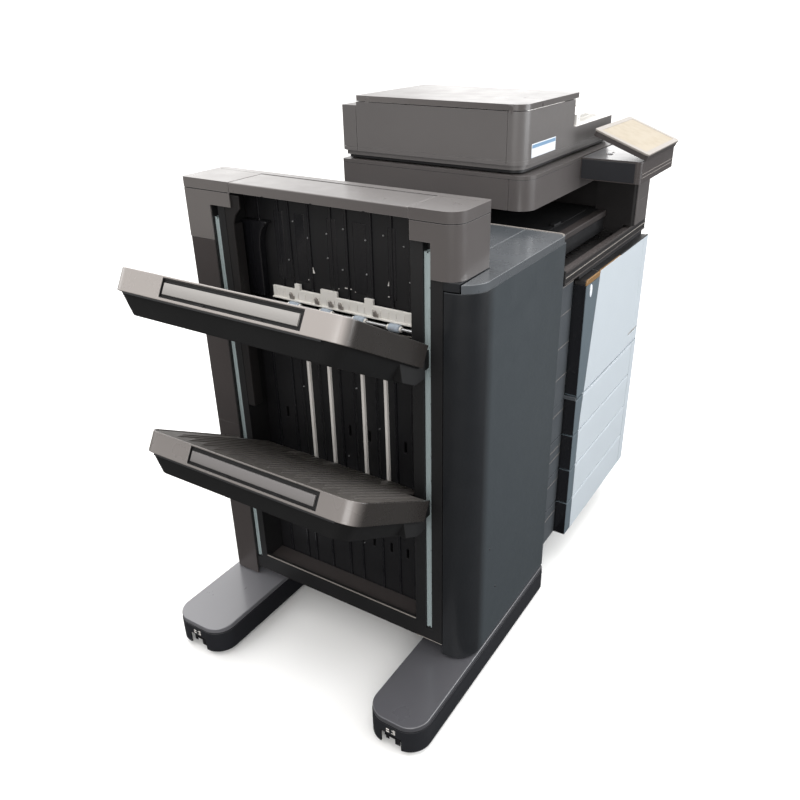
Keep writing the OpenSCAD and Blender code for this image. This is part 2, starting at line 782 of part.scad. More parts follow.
module feeder_top_cover() color(warm_grey)
    difference() {
        union() {
            difference() {
                slab([410, 707], [adf_y0, head_rear], [head_top + 1, adf_top], [34, 6, 4, 4]);
                slab([414, 703], [adf_y0 + wall, head_rear - wall], [head_top, adf_top - skin],
                    [30, 3, 2, 2]);
            }
            rod_y(lid_axis[0], [150.5, 491.5], lid_axis[1], 3.5);
        }
        for (y = [[141, 150], [492, 501]])
            block([409, 419], y, [1140, adf_top - over]);
        rod_y(lid_axis[0], [149, 161], lid_axis[1], 1.5 + run);
        rod_y(lid_axis[0], [481, 493], lid_axis[1], 1.5 + run);
    }

// Sloping tray for the originals, drawn flat and turned about its hinge
module document_tray() color(pale) {
    translate([doc_axis[0], 0, doc_axis[1]]) rotate([0, -doc_tilt, 0]) {
        block([-4, 236], [131, 519], [-1, 3]);
        block([40, 236], [131, 135], [3, 8]);
        block([40, 236], [515, 519], [3, 8]);
    }
    rod_y(doc_axis[0], [121, 529], doc_axis[1], 3);
}

// Paper guide: side -1 is the front one
module paper_guide(y, side)
    translate([doc_axis[0], 0, doc_axis[1]]) rotate([0, -doc_tilt, 0]) {
        fence = side < 0 ? [y, y + 4] : [y - 4, y];
        base = side < 0 ? [y, y + 34] : [y - 34, y];
        block([30, 160], fence, [3.4, 26]);
        block([60, 130], base, [3.4, 6]);
    }

module guide_front() color(charcoal) paper_guide(172, -1);

module guide_rear() color(charcoal) paper_guide(478, 1);

module feed_roller() color(steel) {
    rod_y(roller_axis[0], [121, 521], roller_axis[1], 3);
    for (y = [262, 350])
        rod_y(roller_axis[0], [y, y + 34], roller_axis[1], 13);
}

// Control panel -------------------------------------------------------

screen_x = [700, 950];
ear_x = [[752, 760], [890, 898]];
button_at = [764, 52];

module control_panel() color(charcoal)
    difference() {
        union() {
            difference() {
                slab([694, 966], [-45, 94.5], [970, 1019], [12, 12, 0, 0]);
                slab([697, 963], [-42, 91.5], [973, 1016], [9, 9, 0, 0]);
            }
            for (x = ear_x) {
                block(x, [screen_axis[0] + over, screen_axis[0] + 8], [1018, screen_axis[1]]);
                rod_x(x, screen_axis[0], screen_axis[1], 4);
            }
            rod_x([744, 759], screen_axis[0], screen_axis[1], 2);
            rod_x([891, 906], screen_axis[0], screen_axis[1], 2);
        }
        rod_z(button_at[0], button_at[1], [1015, 1020], 6 + run);
        // Cable pass into the column
        block([835, 905], [0, 60], [969, 974]);
    }

module touch_screen() color(cream)
    difference() {
        union() {
            translate([0, screen_y0, 1036]) rotate([screen_tilt, 0, 0])
                slab(screen_x, [0, 138.6], [-16, 0], [8, 8, 8, 8]);
            for (x = [[743, 751.5], [898.5, 907]])
                rod_x(x, screen_axis[0], screen_axis[1], 4.5);
        }
        for (x = [[751.5, 760.5], [889.5, 898.5]])
            rod_x(x, screen_axis[0], screen_axis[1], 6);
        for (x = [[751.5, 760.5], [889.5, 898.5]])
            block(x, [screen_axis[0] - 4, screen_axis[0] + 14], [1010, 1027]);
        rod_x([742, 752], screen_axis[0], screen_axis[1], 2 + run);
        rod_x([898, 908], screen_axis[0], screen_axis[1], 2 + run);
    }

module power_button() color(cream) {
    rod_z(button_at[0], button_at[1], [1013, 1021.5], 6);
    rod_z(button_at[0], button_at[1], [1013, 1015.5], 8);
}

// Right side ----------------------------------------------------------

module side_door() color(pale)
    difference() {
        union() {
            block([964, main_x1], [72, side_axis[1]], [502, 793]);
            rod_z(side_axis[0], side_axis[1], [502, 793], 3.5);
            for (y = [[112, 120], [430, 438]])
                block([958, 966], y, [516, 534]);
            rod_y(bypass_axis[0], [118, 132], bypass_axis[1], 1.5);
            rod_y(bypass_axis[0], [418, 432], bypass_axis[1], 1.5);
        }
        difference() {
            block([963, main_x1 + over], [120, 430], [518, 702]);
            rod_y(bypass_axis[0], [119, 132], bypass_axis[1], 1.5);
            rod_y(bypass_axis[0], [418, 431], bypass_axis[1], 1.5);
        }
        rod_z(side_axis[0], side_axis[1], [501, 513], 1.5 + run);
        rod_z(side_axis[0], side_axis[1], [782, 794], 1.5 + run);
    }

module bypass_tray() color(pale)
    difference() {
        union() {
            block([964.5, 967.5], [121, 429], [bypass_axis[1], 700]);
            rod_y(bypass_axis[0], [121, 429], bypass_axis[1], 2.9);
            for (y = [160, 270, 380])
                block([963, 965], [y, y + 6], [540, 690]);
        }
        rod_y(bypass_axis[0], [120, 133], bypass_axis[1], 1.5 + run);
        rod_y(bypass_axis[0], [417, 430], bypass_axis[1], 1.5 + run);
    }

// Inside the main unit ------------------------------------------------

toner_x = [545, 635, 725, 815];

module toner_cartridges() color(charcoal)
    for (x = toner_x) {
        rod_y(x, [40, 400], 758, 27);
        rod_y(x, [34, 41], 758, 20);
        rod_y(x, [399, rear_wall_y[0]], 758, 12);
    }

module imaging_units() color(ink)
    for (x = toner_x) {
        block([x - 34, x + 30], [50, rear_wall_y[0]], [620, 660]);
        rod_y(x, [60, 410], 668, 15);
    }

module transfer_belt() color(charcoal) {
    z = 707;
    radius = 12;
    difference() {
        belt_loop(z, radius);
        belt_loop(z, radius - 1);
    }
    for (x = [520, 860]) rod_y(x, [66, rear_wall_y[0]], z, radius - 1);
}

// Stadium-shaped loop, drawn as a bar with two round ends
module belt_loop(z, r) {
    block([520, 860], [70, 400], [z - r, z + r]);
    rod_y(520, [70, 400], z, r);
    rod_y(860, [70, 400], z, r);
}

module fuser() color(charcoal) {
    block([892, 898], [70, rear_wall_y[0]], [700, 790]);
    for (y = [[70, 76], [434, rear_wall_y[0]]]) block([897, 950], y, [700, 790]);
    rod_y(913, [75, 435], 744, 13);
    rod_y(938, [75, 435], 744, 10);
}

module laser_unit() color(ink)
    difference() {
        block([500, 880], [60, rear_wall_y[0]], [510, 590]);
        for (x = toner_x) block([x - 4, x + 4], [80, 400], [584, 591]);
    }

module power_supply() color(zinc)
    difference() {
        block([440, 700], [540, 619], [520, 640]);
        block([443, 697], [537, 616], [523, 637]);
    }

// Relay path that carries sheets from the exit to the finisher
module bridge_unit() color(charcoal)
    difference() {
        slab([412, 848], [70, 500], [deck_z, 874], [6, 14, 6, 6]);
        block([416, 844], [74, 496], [deck_z - over, 868]);
        block([411, 417], [100, 480], [850, 860]);
        // Corner where the right column stands
        block([column_x[0] - 0.5, 849], [69, 94.5], [deck_z - over, 875]);
    }

place() finisher_frame();
place() finisher_front_foot();
place() finisher_rear_foot();
place() finisher_rear_cover();
place() finisher_top_cover();
place() finisher_front_door();
place() upper_unit_housing();
place() upper_jam_cover();
place() stack_wall();
place() exit_guides();
place() exit_rollers();
place() lift_rails();
place() upper_tray();
place() lower_tray();
place() stapler();
place() fork_front_left();
place() fork_rear_left();
place() wheel_front_left();
place() wheel_rear_left();
place() wheel_front_right();
place() wheel_rear_right();
place() levelling_feet();
place() main_frame();
place() main_left_cover();
place() main_right_cover();
place() main_rear_cover();
place() right_column();
place() output_deck();
place() front_door();
place() drawer_1();
place() drawer_2();
place() drawer_3();
place() drawer_4();
place() scanner_housing();
place() platen_glass();
place() scan_carriage();
place() feeder_base();
place() feeder_top_cover();
place() document_tray();
place() guide_front();
place() guide_rear();
place() feed_roller();
place() control_panel();
place() touch_screen();
place() power_button();
place() side_door();
place() bypass_tray();
place() toner_cartridges();
place() imaging_units();
place() transfer_belt();
place() fuser();
place() laser_unit();
place() bridge_unit();
place() main_fork_left();
place() main_fork_right();
place() main_wheel_front_left();
place() main_wheel_front_right();
place() main_wheel_rear_left();
place() main_wheel_rear_right();
place() power_supply();
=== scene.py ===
import math
import bpy
import bmesh
from mathutils import Matrix, Vector


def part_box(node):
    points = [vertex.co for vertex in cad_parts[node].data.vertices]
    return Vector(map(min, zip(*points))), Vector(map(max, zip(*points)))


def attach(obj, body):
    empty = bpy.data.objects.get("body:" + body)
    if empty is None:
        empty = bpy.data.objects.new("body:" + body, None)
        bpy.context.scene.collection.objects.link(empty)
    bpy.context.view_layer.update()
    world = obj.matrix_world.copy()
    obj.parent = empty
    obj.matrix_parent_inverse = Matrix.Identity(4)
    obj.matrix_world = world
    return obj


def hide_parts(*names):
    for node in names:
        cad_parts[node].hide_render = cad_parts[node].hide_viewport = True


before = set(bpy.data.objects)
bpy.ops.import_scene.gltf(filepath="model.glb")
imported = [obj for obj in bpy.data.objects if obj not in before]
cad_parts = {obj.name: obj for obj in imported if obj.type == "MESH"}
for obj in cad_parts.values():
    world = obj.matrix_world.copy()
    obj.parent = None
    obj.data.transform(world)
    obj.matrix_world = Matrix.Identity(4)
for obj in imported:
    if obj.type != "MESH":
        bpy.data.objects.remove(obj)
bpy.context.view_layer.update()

# All pieces are drawn in millimetres from the finisher's front left corner, on the floor:
# +X to the operator's right, +Y to the back, +Z up. at() puts a point in the frame.
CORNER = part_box("finisher_front_door")[0]
ORIGIN = Vector((CORNER.x, CORNER.y, 0.0))
MACHINE = "machine"


def at(x, y, z):
    return ORIGIN + Vector((x, y, z)) * 0.001


def extent(node):
    """A CAD node's limits in the drawing frame, as ((x0, x1), (y0, y1), (z0, z1))."""
    low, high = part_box(node)
    low, high = (low - ORIGIN) * 1000, (high - ORIGIN) * 1000
    return tuple((low[i], high[i]) for i in range(3))


# ---------------------------------------------------------------- materials

def linear(code):
    """A colour given as six hex digits, in linear light."""
    out = []
    for i in (0, 2, 4):
        c = int(code[i:i + 2], 16) / 255
        out.append(c / 12.92 if c <= 0.04045 else ((c + 0.055) / 1.055) ** 2.4)
    return out + [1.0]


class Nodes:
    """Short calls for building one material's node tree."""

    def __init__(self, name):
        self.material = bpy.data.materials.new(name)
        self.material.use_nodes = True
        self.tree = self.material.node_tree
        self.shader = self.tree.nodes["Principled BSDF"]
        self.place = self.add("ShaderNodeTexCoord").outputs["Object"]

    def add(self, kind, **values):
        made = self.tree.nodes.new(kind)
        for key, value in values.items():
            setattr(made, key, value)
        return made

    def link(self, source, target):
        self.tree.links.new(source, target)

    def put(self, socket, value):
        if isinstance(value, bpy.types.NodeSocket):
            self.link(value, socket)
        else:
            socket.default_value = value

    def stretched(self, scale):
        mapping = self.add("ShaderNodeMapping")
        self.link(self.place, mapping.inputs["Vector"])
        mapping.inputs["Scale"].default_value = scale
        return mapping.outputs["Vector"]

    def noise(self, scale, detail=2.0, stretch=None, rough=0.5):
        made = self.add("ShaderNodeTexNoise")
        self.link(self.stretched(stretch) if stretch else self.place, made.inputs["Vector"])
        made.inputs["Scale"].default_value = scale
        made.inputs["Detail"].default_value = detail
        made.inputs["Roughness"].default_value = rough
        return made.outputs["Fac"]

    def range(self, value, low, high, start=0.3, stop=0.7):
        made = self.add("ShaderNodeMapRange")
        self.put(made.inputs["Value"], value)
        for key, number in (("From Min", start), ("From Max", stop), ("To Min", low), ("To Max", high)):
            made.inputs[key].default_value = number
        return made.outputs["Result"]

    def math(self, operation, a, b=0.0):
        made = self.add("ShaderNodeMath", operation=operation)
        self.put(made.inputs[0], a)
        self.put(made.inputs[1], b)
        return made.outputs[0]

    def mix(self, factor, a, b, blend="MIX"):
        made = self.add("ShaderNodeMix", data_type="RGBA", blend_type=blend)
        self.put(made.inputs["Factor"], factor)
        self.put(made.inputs["A"], a)
        self.put(made.inputs["B"], b)
        return made.outputs["Result"]

    def edge_mask(self, radius):
        """About 1 on a convex or concave edge and 0 on a flat face."""
        rounded = self.add("ShaderNodeBevel", samples=4)
        rounded.inputs["Radius"].default_value = radius
        plain = self.add("ShaderNodeNewGeometry")
        dot = self.add("ShaderNodeVectorMath", operation="DOT_PRODUCT")
        self.link(rounded.outputs["Normal"], dot.inputs[0])
        self.link(plain.outputs["Normal"], dot.inputs[1])
        return self.range(dot.outputs["Value"], 1.0, 0.0, 0.90, 0.995)

    def up_mask(self):
        geometry = self.add("ShaderNodeNewGeometry")
        split = self.add("ShaderNodeSeparateXYZ")
        self.link(geometry.outputs["Normal"], split.inputs[0])
        return self.range(split.outputs["Z"], 0.0, 1.0, 0.2, 1.0)

    def bump(self, height, strength, distance, normal=None):
        made = self.add("ShaderNodeBump")
        self.put(made.inputs["Height"], height)
        made.inputs["Strength"].default_value = strength
        made.inputs["Distance"].default_value = distance
        if normal is not None:
            self.link(normal, made.inputs["Normal"])
        return made.outputs["Normal"]


def plastic(name, code, rough=0.42, grain=900, bump=0.35, vary=0.10, wear=0.25, dust=0.10,
            coat=0.0, dust_code="9a9690", painted_light_ramp=None, rim=0.0):
    """Moulded plastic: fine spark grain, faint smudges, edges lighter from patchy wear and from a painted edge
    highlight, and a little dust.

    The light ramp (axis, centre, from, to, colour) blends to another colour with the distance from a plane: painted
    shade where that colour is darker, painted highlight where it is lighter.
    rim is a painted edge highlight: how much lighter every edge is, on top of the patchy wear."""
    n = Nodes(name)
    base = linear(code)
    colour = n.mix(n.range(n.noise(5.0, 3.0), 0.0, vary), base, [c * 0.62 for c in base[:3]] + [1.0])
    fleck = n.range(n.noise(grain * 1.4, 1.0), 0.0, 0.03, 0.5, 0.75)
    colour = n.mix(fleck, colour, [min(1, c * 1.6 + 0.02) for c in base[:3]] + [1.0])
    # Painted shade and painted highlight: the colour ramps with distance from a plane, standing in for how light falls.
    if painted_light_ramp:
        split = n.add("ShaderNodeSeparateXYZ")
        n.link(n.place, split.inputs[0])
        axis, centre, start, stop, other = painted_light_ramp
        middle = at(centre, centre, 0)["XYZ".index(axis)]
        off = n.math("ABSOLUTE", n.math("SUBTRACT", split.outputs[axis], middle))
        colour = n.mix(n.range(off, 0.0, 1.0, start * 0.001, stop * 0.001), colour, linear(other))
    # Lighter edges: patchy wear, plus the rim amount as a painted edge highlight on every edge.
    wear_and_edge_highlight = n.math("MULTIPLY", n.edge_mask(0.0012), n.range(n.noise(60.0, 4.0), rim, max(rim, wear), 0.4, 0.7))
    colour = n.mix(wear_and_edge_highlight, colour, [min(1, c * 2.0 + 0.10) for c in base[:3]] + [1.0])
    film = n.math("MULTIPLY", n.up_mask(), n.range(n.noise(14.0, 5.0), 0.2, dust, 0.35, 0.7))
    colour = n.mix(n.math("MULTIPLY", film, dust), colour, linear(dust_code))
    n.put(n.shader.inputs["Base Color"], colour)
    n.put(n.shader.inputs["Roughness"], n.range(n.noise(22.0, 4.0), rough - 0.03, rough + 0.06))
    fine = n.bump(n.noise(grain, 2.0), bump * 0.5, 0.00012)
    n.put(n.shader.inputs["Normal"], n.bump(n.noise(6.0, 1.0), 0.02, 0.0015, fine))
    if coat:
        n.shader.inputs["Coat Weight"].default_value = coat
        n.shader.inputs["Coat Roughness"].default_value = 0.16
    return n.material


def metal(name, code, rough=0.3, stretch=(1, 1, 40), wear=0.3, spots="5a5048", shine=0.8):
    """Sheet or turned metal: drawn lines along one direction, dull patches and small stains."""
    n = Nodes(name)
    base = linear(code)
    lines = n.noise(90.0, 3.0, stretch)
    colour = n.mix(n.range(lines, 0.0, 0.35), base, [c * 0.7 for c in base[:3]] + [1.0])
    stain = n.range(n.noise(35.0, 5.0), 0.0, wear, 0.58, 0.75)
    colour = n.mix(stain, colour, linear(spots))
    n.put(n.shader.inputs["Base Color"], colour)
    n.shader.inputs["Metallic"].default_value = shine
    n.put(n.shader.inputs["Roughness"], n.range(lines, rough, rough + 0.2))
    n.put(n.shader.inputs["Normal"], n.bump(n.noise(300.0, 2.0, stretch), 0.25, 0.0001))
    return n.material


def rubber(name, code, rough=0.8):
    """Matt rubber with a granular surface, scuffs and grey dust in the grain."""
    n = Nodes(name)
    base = linear(code)
    colour = n.mix(n.range(n.noise(50.0, 5.0), 0.0, 0.5, 0.45, 0.75), base, linear("77736d"))
    n.put(n.shader.inputs["Base Color"], colour)
    n.put(n.shader.inputs["Roughness"], n.range(n.noise(80.0, 3.0), rough - 0.12, rough + 0.1))
    n.put(n.shader.inputs["Normal"], n.bump(n.noise(700.0, 3.0), 0.5, 0.0002))
    return n.material


def glass(name, code):
    """Glass plate with a faint tint and finger smears in its roughness."""
    n = Nodes(name)
    n.put(n.shader.inputs["Base Color"], n.mix(n.range(n.noise(6.0, 3.0), 0.0, 0.2), linear(code), linear("dfeeee")))
    n.shader.inputs["Transmission Weight"].default_value = 0.85
    n.put(n.shader.inputs["Roughness"], n.range(n.noise(18.0, 5.0), 0.02, 0.14, 0.45, 0.8))
    return n.material


def display(name, code):
    """Unlit touch panel: milky cream film with a soft sheen and fingerprints."""
    n = Nodes(name)
    base = linear(code)
    n.put(n.shader.inputs["Base Color"], n.mix(n.range(n.noise(9.0, 3.0), 0.0, 0.2), base, linear("a89e8b")))
    n.put(n.shader.inputs["Roughness"], n.range(n.noise(40.0, 6.0), 0.3, 0.45, 0.4, 0.75))
    n.put(n.shader.inputs["Normal"], n.bump(n.noise(1400.0, 1.0), 0.08, 0.00005))
    n.shader.inputs["Coat Weight"].default_value = 0.1
    return n.material


# On the plastics below, a rim value paints a highlight on every edge.
CHARCOAL = plastic("charcoal_plastic", "222327", 0.40, 1000, 0.3)
# Finisher door plastic: its rounded front-left corner darkens as painted shade, and rim adds a painted edge highlight.
SLATE = plastic("slate_plastic", "3b4145", 0.34, 1100, 0.2, vary=0.04, dust=0.04, coat=0.12, rim=0.25,
                painted_light_ramp=("X", 395, 322, 352, "1c1e21"))
SLATE_TOP = plastic("slate_top_plastic", "53575b", 0.26, 1100, 0.12, vary=0.04, dust=0.04, coat=0.9, rim=0.3)
# Darker copy of the slate plastic as painted shade, for the base under the upper unit.
SLATE_PAINTED_SHADE = plastic("slate_painted_shade_plastic", "1b1d20", 0.34, 1100, 0.28, vary=0.04, dust=0.04)
WARM = plastic("warm_grey_plastic", "646160", 0.36, 900, 0.2, vary=0.05, wear=0.5, dust=0.06, coat=0.12, rim=0.25)
WARM_LOW = plastic("warm_low_plastic", "555150", 0.33, 900, 0.2, vary=0.05, wear=0.4, dust=0.06, coat=0.2, rim=0.25)
# Top covers: lighter towards the rear as a painted highlight, and a strong painted edge highlight from rim.
WARM_TOP = plastic("warm_top_plastic", "585453", 0.3, 900, 0.08, vary=0.04, wear=0.5, dust=0.04, coat=0.3, rim=0.65,
                   painted_light_ramp=("Y", 0, 150, 600, "6f6b69"))
BLACK = plastic("black_plastic", "161618", 0.46, 800, 0.3, wear=0.12, dust=0.05)
PITCH = plastic("pitch_plastic", "09090a", 0.62, 800, 0.3, wear=0.08, dust=0.03)
GLOSS_BLACK = plastic("gloss_black_plastic", "17171a", 0.2, 500, 0.1, wear=0.1, dust=0.04, coat=0.3)
BROWN = plastic("umber_plastic", "433e3d", 0.36, 900, 0.25, coat=0.1)
UMBER = plastic("deep_umber_plastic", "342f2e", 0.45, 900, 0.3, dust=0.04)
DARK_WARM = plastic("dark_umber_plastic", "1e1c1c", 0.4, 900, 0.25)
COLUMN = plastic("column_plastic", "505458", 0.36, 1000, 0.25, vary=0.2)
LABEL = plastic("blank_label", "e9edf2", 0.3, 1500, 0.05, vary=0.03, wear=0.02, dust=0.02)
PALE = plastic("pale_plastic", "c6ced4", 0.34, 1300, 0.15, vary=0.04, wear=0.08, dust=0.05, coat=0.15)
CREAM = plastic("cream_plastic", "efece6", 0.33, 900, 0.15, vary=0.12, wear=0.1, dust_code="8c8879")
BONE = plastic("bone_plastic", "efebe6", 0.42, 900, 0.2, vary=0.12, wear=0.1)
BEZEL = plastic("bezel_plastic", "96908a", 0.36, 1000, 0.2, vary=0.08, wear=0.1)
# Upper tray band and inset: the lit copy of the tray plastics, lighter than the lower tray's; the band's front and rear
# sides darken as painted shade.
BAND = plastic("band_plastic", "9c9692", 0.24, 1200, 0.06, vary=0.05, wear=0.15, dust=0.03, coat=0.4,
               painted_light_ramp=("Y", 325, 239, 249, "2a2725"))
INSET = plastic("inset_plastic", "989592", 0.32, 1400, 0.05, vary=0.04, wear=0.1, dust=0.03, coat=0.25)
# Lower tray band and inset: darker copies of the upper tray's as painted shade under the upper tray; the band's front
# and rear sides darken as painted shade too.
LOW_BAND_PAINTED_SHADE = plastic("low_band_painted_shade_plastic", "787370", 0.26, 1200, 0.06, vary=0.05, wear=0.15, dust=0.03, coat=0.3,
                   painted_light_ramp=("Y", 325, 239, 249, "2a2725"))
LOW_INSET_PAINTED_SHADE = plastic("low_inset_painted_shade_plastic", "747170", 0.32, 1400, 0.05, vary=0.04, wear=0.1, dust=0.03, coat=0.2)
# Near white as a painted highlight: the pale originals tray with its guides, mounts and the exit bed, drawn blown out
# by light.
WHITE_PAINTED_HIGHLIGHT = plastic("white_painted_highlight_plastic", "f4f2ee", 0.38, 1100, 0.12, vary=0.03, wear=0.05, dust=0.03)
TRAY_TOP = plastic("tray_top_plastic", "5a5653", 0.42, 700, 0.5, vary=0.2)
# Foot tops: lighter with distance from the front foot as a painted reflection, so the rear foot's top reads brighter.
FOOT_TOP = plastic("foot_top_plastic", "4c4c50", 0.3, 900, 0.2, coat=0.9, painted_light_ramp=("Y", 62, 100, 500, "707074"))
STRIP = plastic("slate_blue_plastic", "5c676e", 0.40, 1000, 0.25)
BLUE_BAND = plastic("label_band", "7f9fbd", 0.3, 1500, 0.05, vary=0.03, wear=0.02, dust=0.02)
BRONZE = plastic("bronze_plastic", "86663f", 0.35, 900, 0.2, vary=0.2)
FRAME_BLACK = plastic("powder_coat_black", "161617", 0.55, 500, 0.6, wear=0.2, dust=0.06)
ZINC = metal("zinc_steel", "a9b7b8", 0.45, (1, 1, 0.05), spots="7b8886", shine=0.15)
BRIGHT = metal("bright_steel", "c9cacb", 0.2, (1, 0.05, 1), wear=0.1)
FRAME_STEEL = metal("galvanised_steel", "aab0b0", 0.42, (0.2, 1, 1))
RUBBER = rubber("black_rubber", "141414")
ROLLER = rubber("blue_grey_rubber", "a9b4c0", 0.6)
GLASS = glass("clear_glass", "cfe4e2")
DISPLAY = display("touch_film", "968a75")


# ---------------------------------------------------------------- mesh tools

def arc(cx, cy, r, start, stop, n=8):
    return [(cx + r * math.cos(math.radians(start + (stop - start) * i / n)),
             cy + r * math.sin(math.radians(start + (stop - start) * i / n))) for i in range(n + 1)]


def outline(x, y, r=(0, 0, 0, 0), n=8):
    """Counterclockwise rectangle with corner radii: front left, front right, rear right, rear left."""
    corners = ((x[0], y[0], 1, 1, 180), (x[1], y[0], -1, 1, 270), (x[1], y[1], -1, -1, 0), (x[0], y[1], 1, -1, 90))
    points = []
    for (cx, cy, sx, sy, start), radius in zip(corners, r):
        if radius > 0:
            points += arc(cx + sx * radius, cy + sy * radius, radius, start, start + 90, n)
        else:
            points.append((cx, cy))
    return points


def lift(axis, point, t):
    u, v = point
    return {"x": (t, u, v), "y": (u, t, v), "z": (u, v, t)}[axis]


def prism(points, axis, span):
    """Closed solid: a polygon drawn across an axis and carried along it."""
    n = len(points)
    verts = [lift(axis, p, span[0]) for p in points] + [lift(axis, p, span[1]) for p in points]
    faces = [tuple(range(n)), tuple(range(2 * n - 1, n - 1, -1))]
    faces += [(i, n + i, n + (i + 1) % n, (i + 1) % n) for i in range(n)]
    return verts, faces


def box(x, y, z):
    return prism([(x[0], y[0]), (x[1], y[0]), (x[1], y[1]), (x[0], y[1])], "z", z)


def slab(x, y, z, r=(0, 0, 0, 0), n=8):
    return prism(outline(x, y, r, n), "z", z)


def ring(outer, inner, axis, span):
    """Closed tube between two outlines with the same number of points."""
    n = len(outer)
    rows = [[lift(axis, p, t) for p in path] for path, t in
            ((outer, span[0]), (outer, span[1]), (inner, span[1]), (inner, span[0]))]
    verts = [v for row in rows for v in row]
    faces = []
    for k in range(4):
        a, b = k * n, ((k + 1) % 4) * n
        faces += [(a + i, a + (i + 1) % n, b + (i + 1) % n, b + i) for i in range(n)]
    return verts, faces


def lathe(profile, axis, centre, n=32):
    """Solid of revolution. profile holds (distance along axis, radius) pairs, ends on the axis closed."""
    verts, faces = [], []
    for t, r in profile:
        for i in range(n):
            a = 2 * math.pi * i / n
            verts.append(lift(axis, (centre[0] + r * math.cos(a), centre[1] + r * math.sin(a)), t))
    for k in range(len(profile) - 1):
        for i in range(n):
            faces.append((k * n + i, k * n + (i + 1) % n, (k + 1) * n + (i + 1) % n, (k + 1) * n + i))
    faces += [tuple(range(n)), tuple(range(len(profile) * n - 1, (len(profile) - 1) * n - 1, -1))]
    return verts, faces


def drum(axis, centre, span, r, chamfer=0.6, n=32):
    a, b = span
    return lathe([(a, r - chamfer), (a + chamfer, r), (b - chamfer, r), (b, r - chamfer)], axis, centre, n)


def hoop(axis, centre, span, r, bore, n=32):
    """Tube with a bore."""
    outer = arc(centre[0], centre[1], r, 0, 360, n)[:-1]
    inner = arc(centre[0], centre[1], bore, 0, 360, n)[:-1]
    return ring(outer, inner, axis, span)


def moved(shell, matrix):
    verts, faces = shell
    return [tuple(matrix @ Vector(v)) for v in verts], faces


def build(name, shells):
    """One mesh object from closed shells, in place and with outward normals."""
    mesh = bpy.data.meshes.new(name)
    verts, faces = [], []
    for shell_verts, shell_faces in shells:
        base = len(verts)
        verts += [tuple(at(*v)) for v in shell_verts]
        faces += [tuple(base + i for i in f) for f in shell_faces]
    mesh.from_pydata(verts, [], faces)
    work = bmesh.new()
    work.from_mesh(mesh)
    bmesh.ops.recalc_face_normals(work, faces=work.faces)
    work.to_mesh(mesh)
    work.free()
    made = bpy.data.objects.new(name, mesh)
    bpy.context.scene.collection.objects.link(made)
    return made


def carve(target, shells):
    """Cuts closed shells out of an object's mesh."""
    tool = build(target.name + "_tool", shells)
    change = target.modifiers.new("cut", "BOOLEAN")
    change.operation, change.object, change.solver = "DIFFERENCE", tool, "EXACT"
    change.use_self = True
    bpy.context.view_layer.update()
    result = bpy.data.meshes.new_from_object(target.evaluated_get(bpy.context.evaluated_depsgraph_get()))
    target.modifiers.clear()
    old = target.data
    target.data = result
    result.name = old.name
    bpy.data.meshes.remove(old)
    bpy.data.objects.remove(tool)


def round_edges(made, width, segments=2, crown=None, rest=0.12):
    """Rounds sharp edges. With a crown height in millimetres, only edges up there get the full width."""
    change = made.modifiers.new("edges", "BEVEL")
    change.width = width * 0.001
    change.segments = segments
    change.limit_method = "ANGLE"
    change.angle_limit = math.radians(32)
    if crown is not None:
        work = bmesh.new()
        work.from_mesh(made.data)
        weight = work.edges.layers.float.new("bevel_weight_edge")
        for edge in work.edges:
            if edge.calc_face_angle(0.0) > change.angle_limit:
                high = min(v.co.z for v in edge.verts) > (crown - 0.1) * 0.001
                edge[weight] = 1.0 if high else rest
        work.to_mesh(made.data)
        work.free()
        change.limit_method = "WEIGHT"
    change.harden_normals = True
    change.use_clamp_overlap = True


def piece(name, body, material, shells, cuts=(), bevel=0.8, segments=2, node=None, crown=None):
    """A finished piece that rides on a body and may stand for one or more CAD nodes."""
    made = build(name, shells)
    if cuts:
        carve(made, cuts)
    made.data.materials.clear()
    made.data.materials.append(material)
    made.data.polygons.foreach_set("use_smooth", [True] * len(made.data.polygons))
    if bevel:
        round_edges(made, bevel, segments, crown)
    else:
        made.data.set_sharp_from_angle(angle=math.radians(32))
    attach(made, body)
    if node:
        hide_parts(*([node] if isinstance(node, str) else node))
    return made


def gasket(name, body, x, y, r, z, depth=1.0):
    """Black joint line that lies in a groove around a cover."""
    outer = outline((x[0] + depth, x[1] - depth), (y[0] + depth, y[1] - depth), [c - depth for c in r], 12)
    inner = outline((x[0] + depth + 1.4, x[1] - depth - 1.4), (y[0] + depth + 1.4, y[1] - depth - 1.4),
                    [c - depth - 1.4 for c in r], 12)
    piece(name, body, BLACK, [ring(outer, inner, "z", z)], bevel=0)


def keep(node, material, bevel=0.6):
    """A CAD node that stays, with its own material and rounded edges."""
    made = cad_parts[node]
    made.data.materials.clear()
    made.data.materials.append(material)
    if bevel:
        round_edges(made, bevel)
    return made


def screw(axis, centre, face, out, r=4.0):
    """Domed screw head with a cross of two thin bars raised on its top. out is +1 or -1 along the axis."""
    head = lathe([(face - out * 0.6, r), (face + out * 0.7, r), (face + out * 1.6, r * 0.72),
                  (face + out * 1.9, r * 0.3)], axis, centre, 16)
    bars = []
    for du, dv in ((r * 0.6, r * 0.14), (r * 0.14, r * 0.6)):
        u, v = (centre[0] - du, centre[0] + du), (centre[1] - dv, centre[1] + dv)
        t = (face + out * 1.7, face + out * 2.05)
        bars.append(prism([(u[0], v[0]), (u[1], v[0]), (u[1], v[1]), (u[0], v[1])], axis, t))
    return [head] + bars


# ---------------------------------------------------------------- finisher

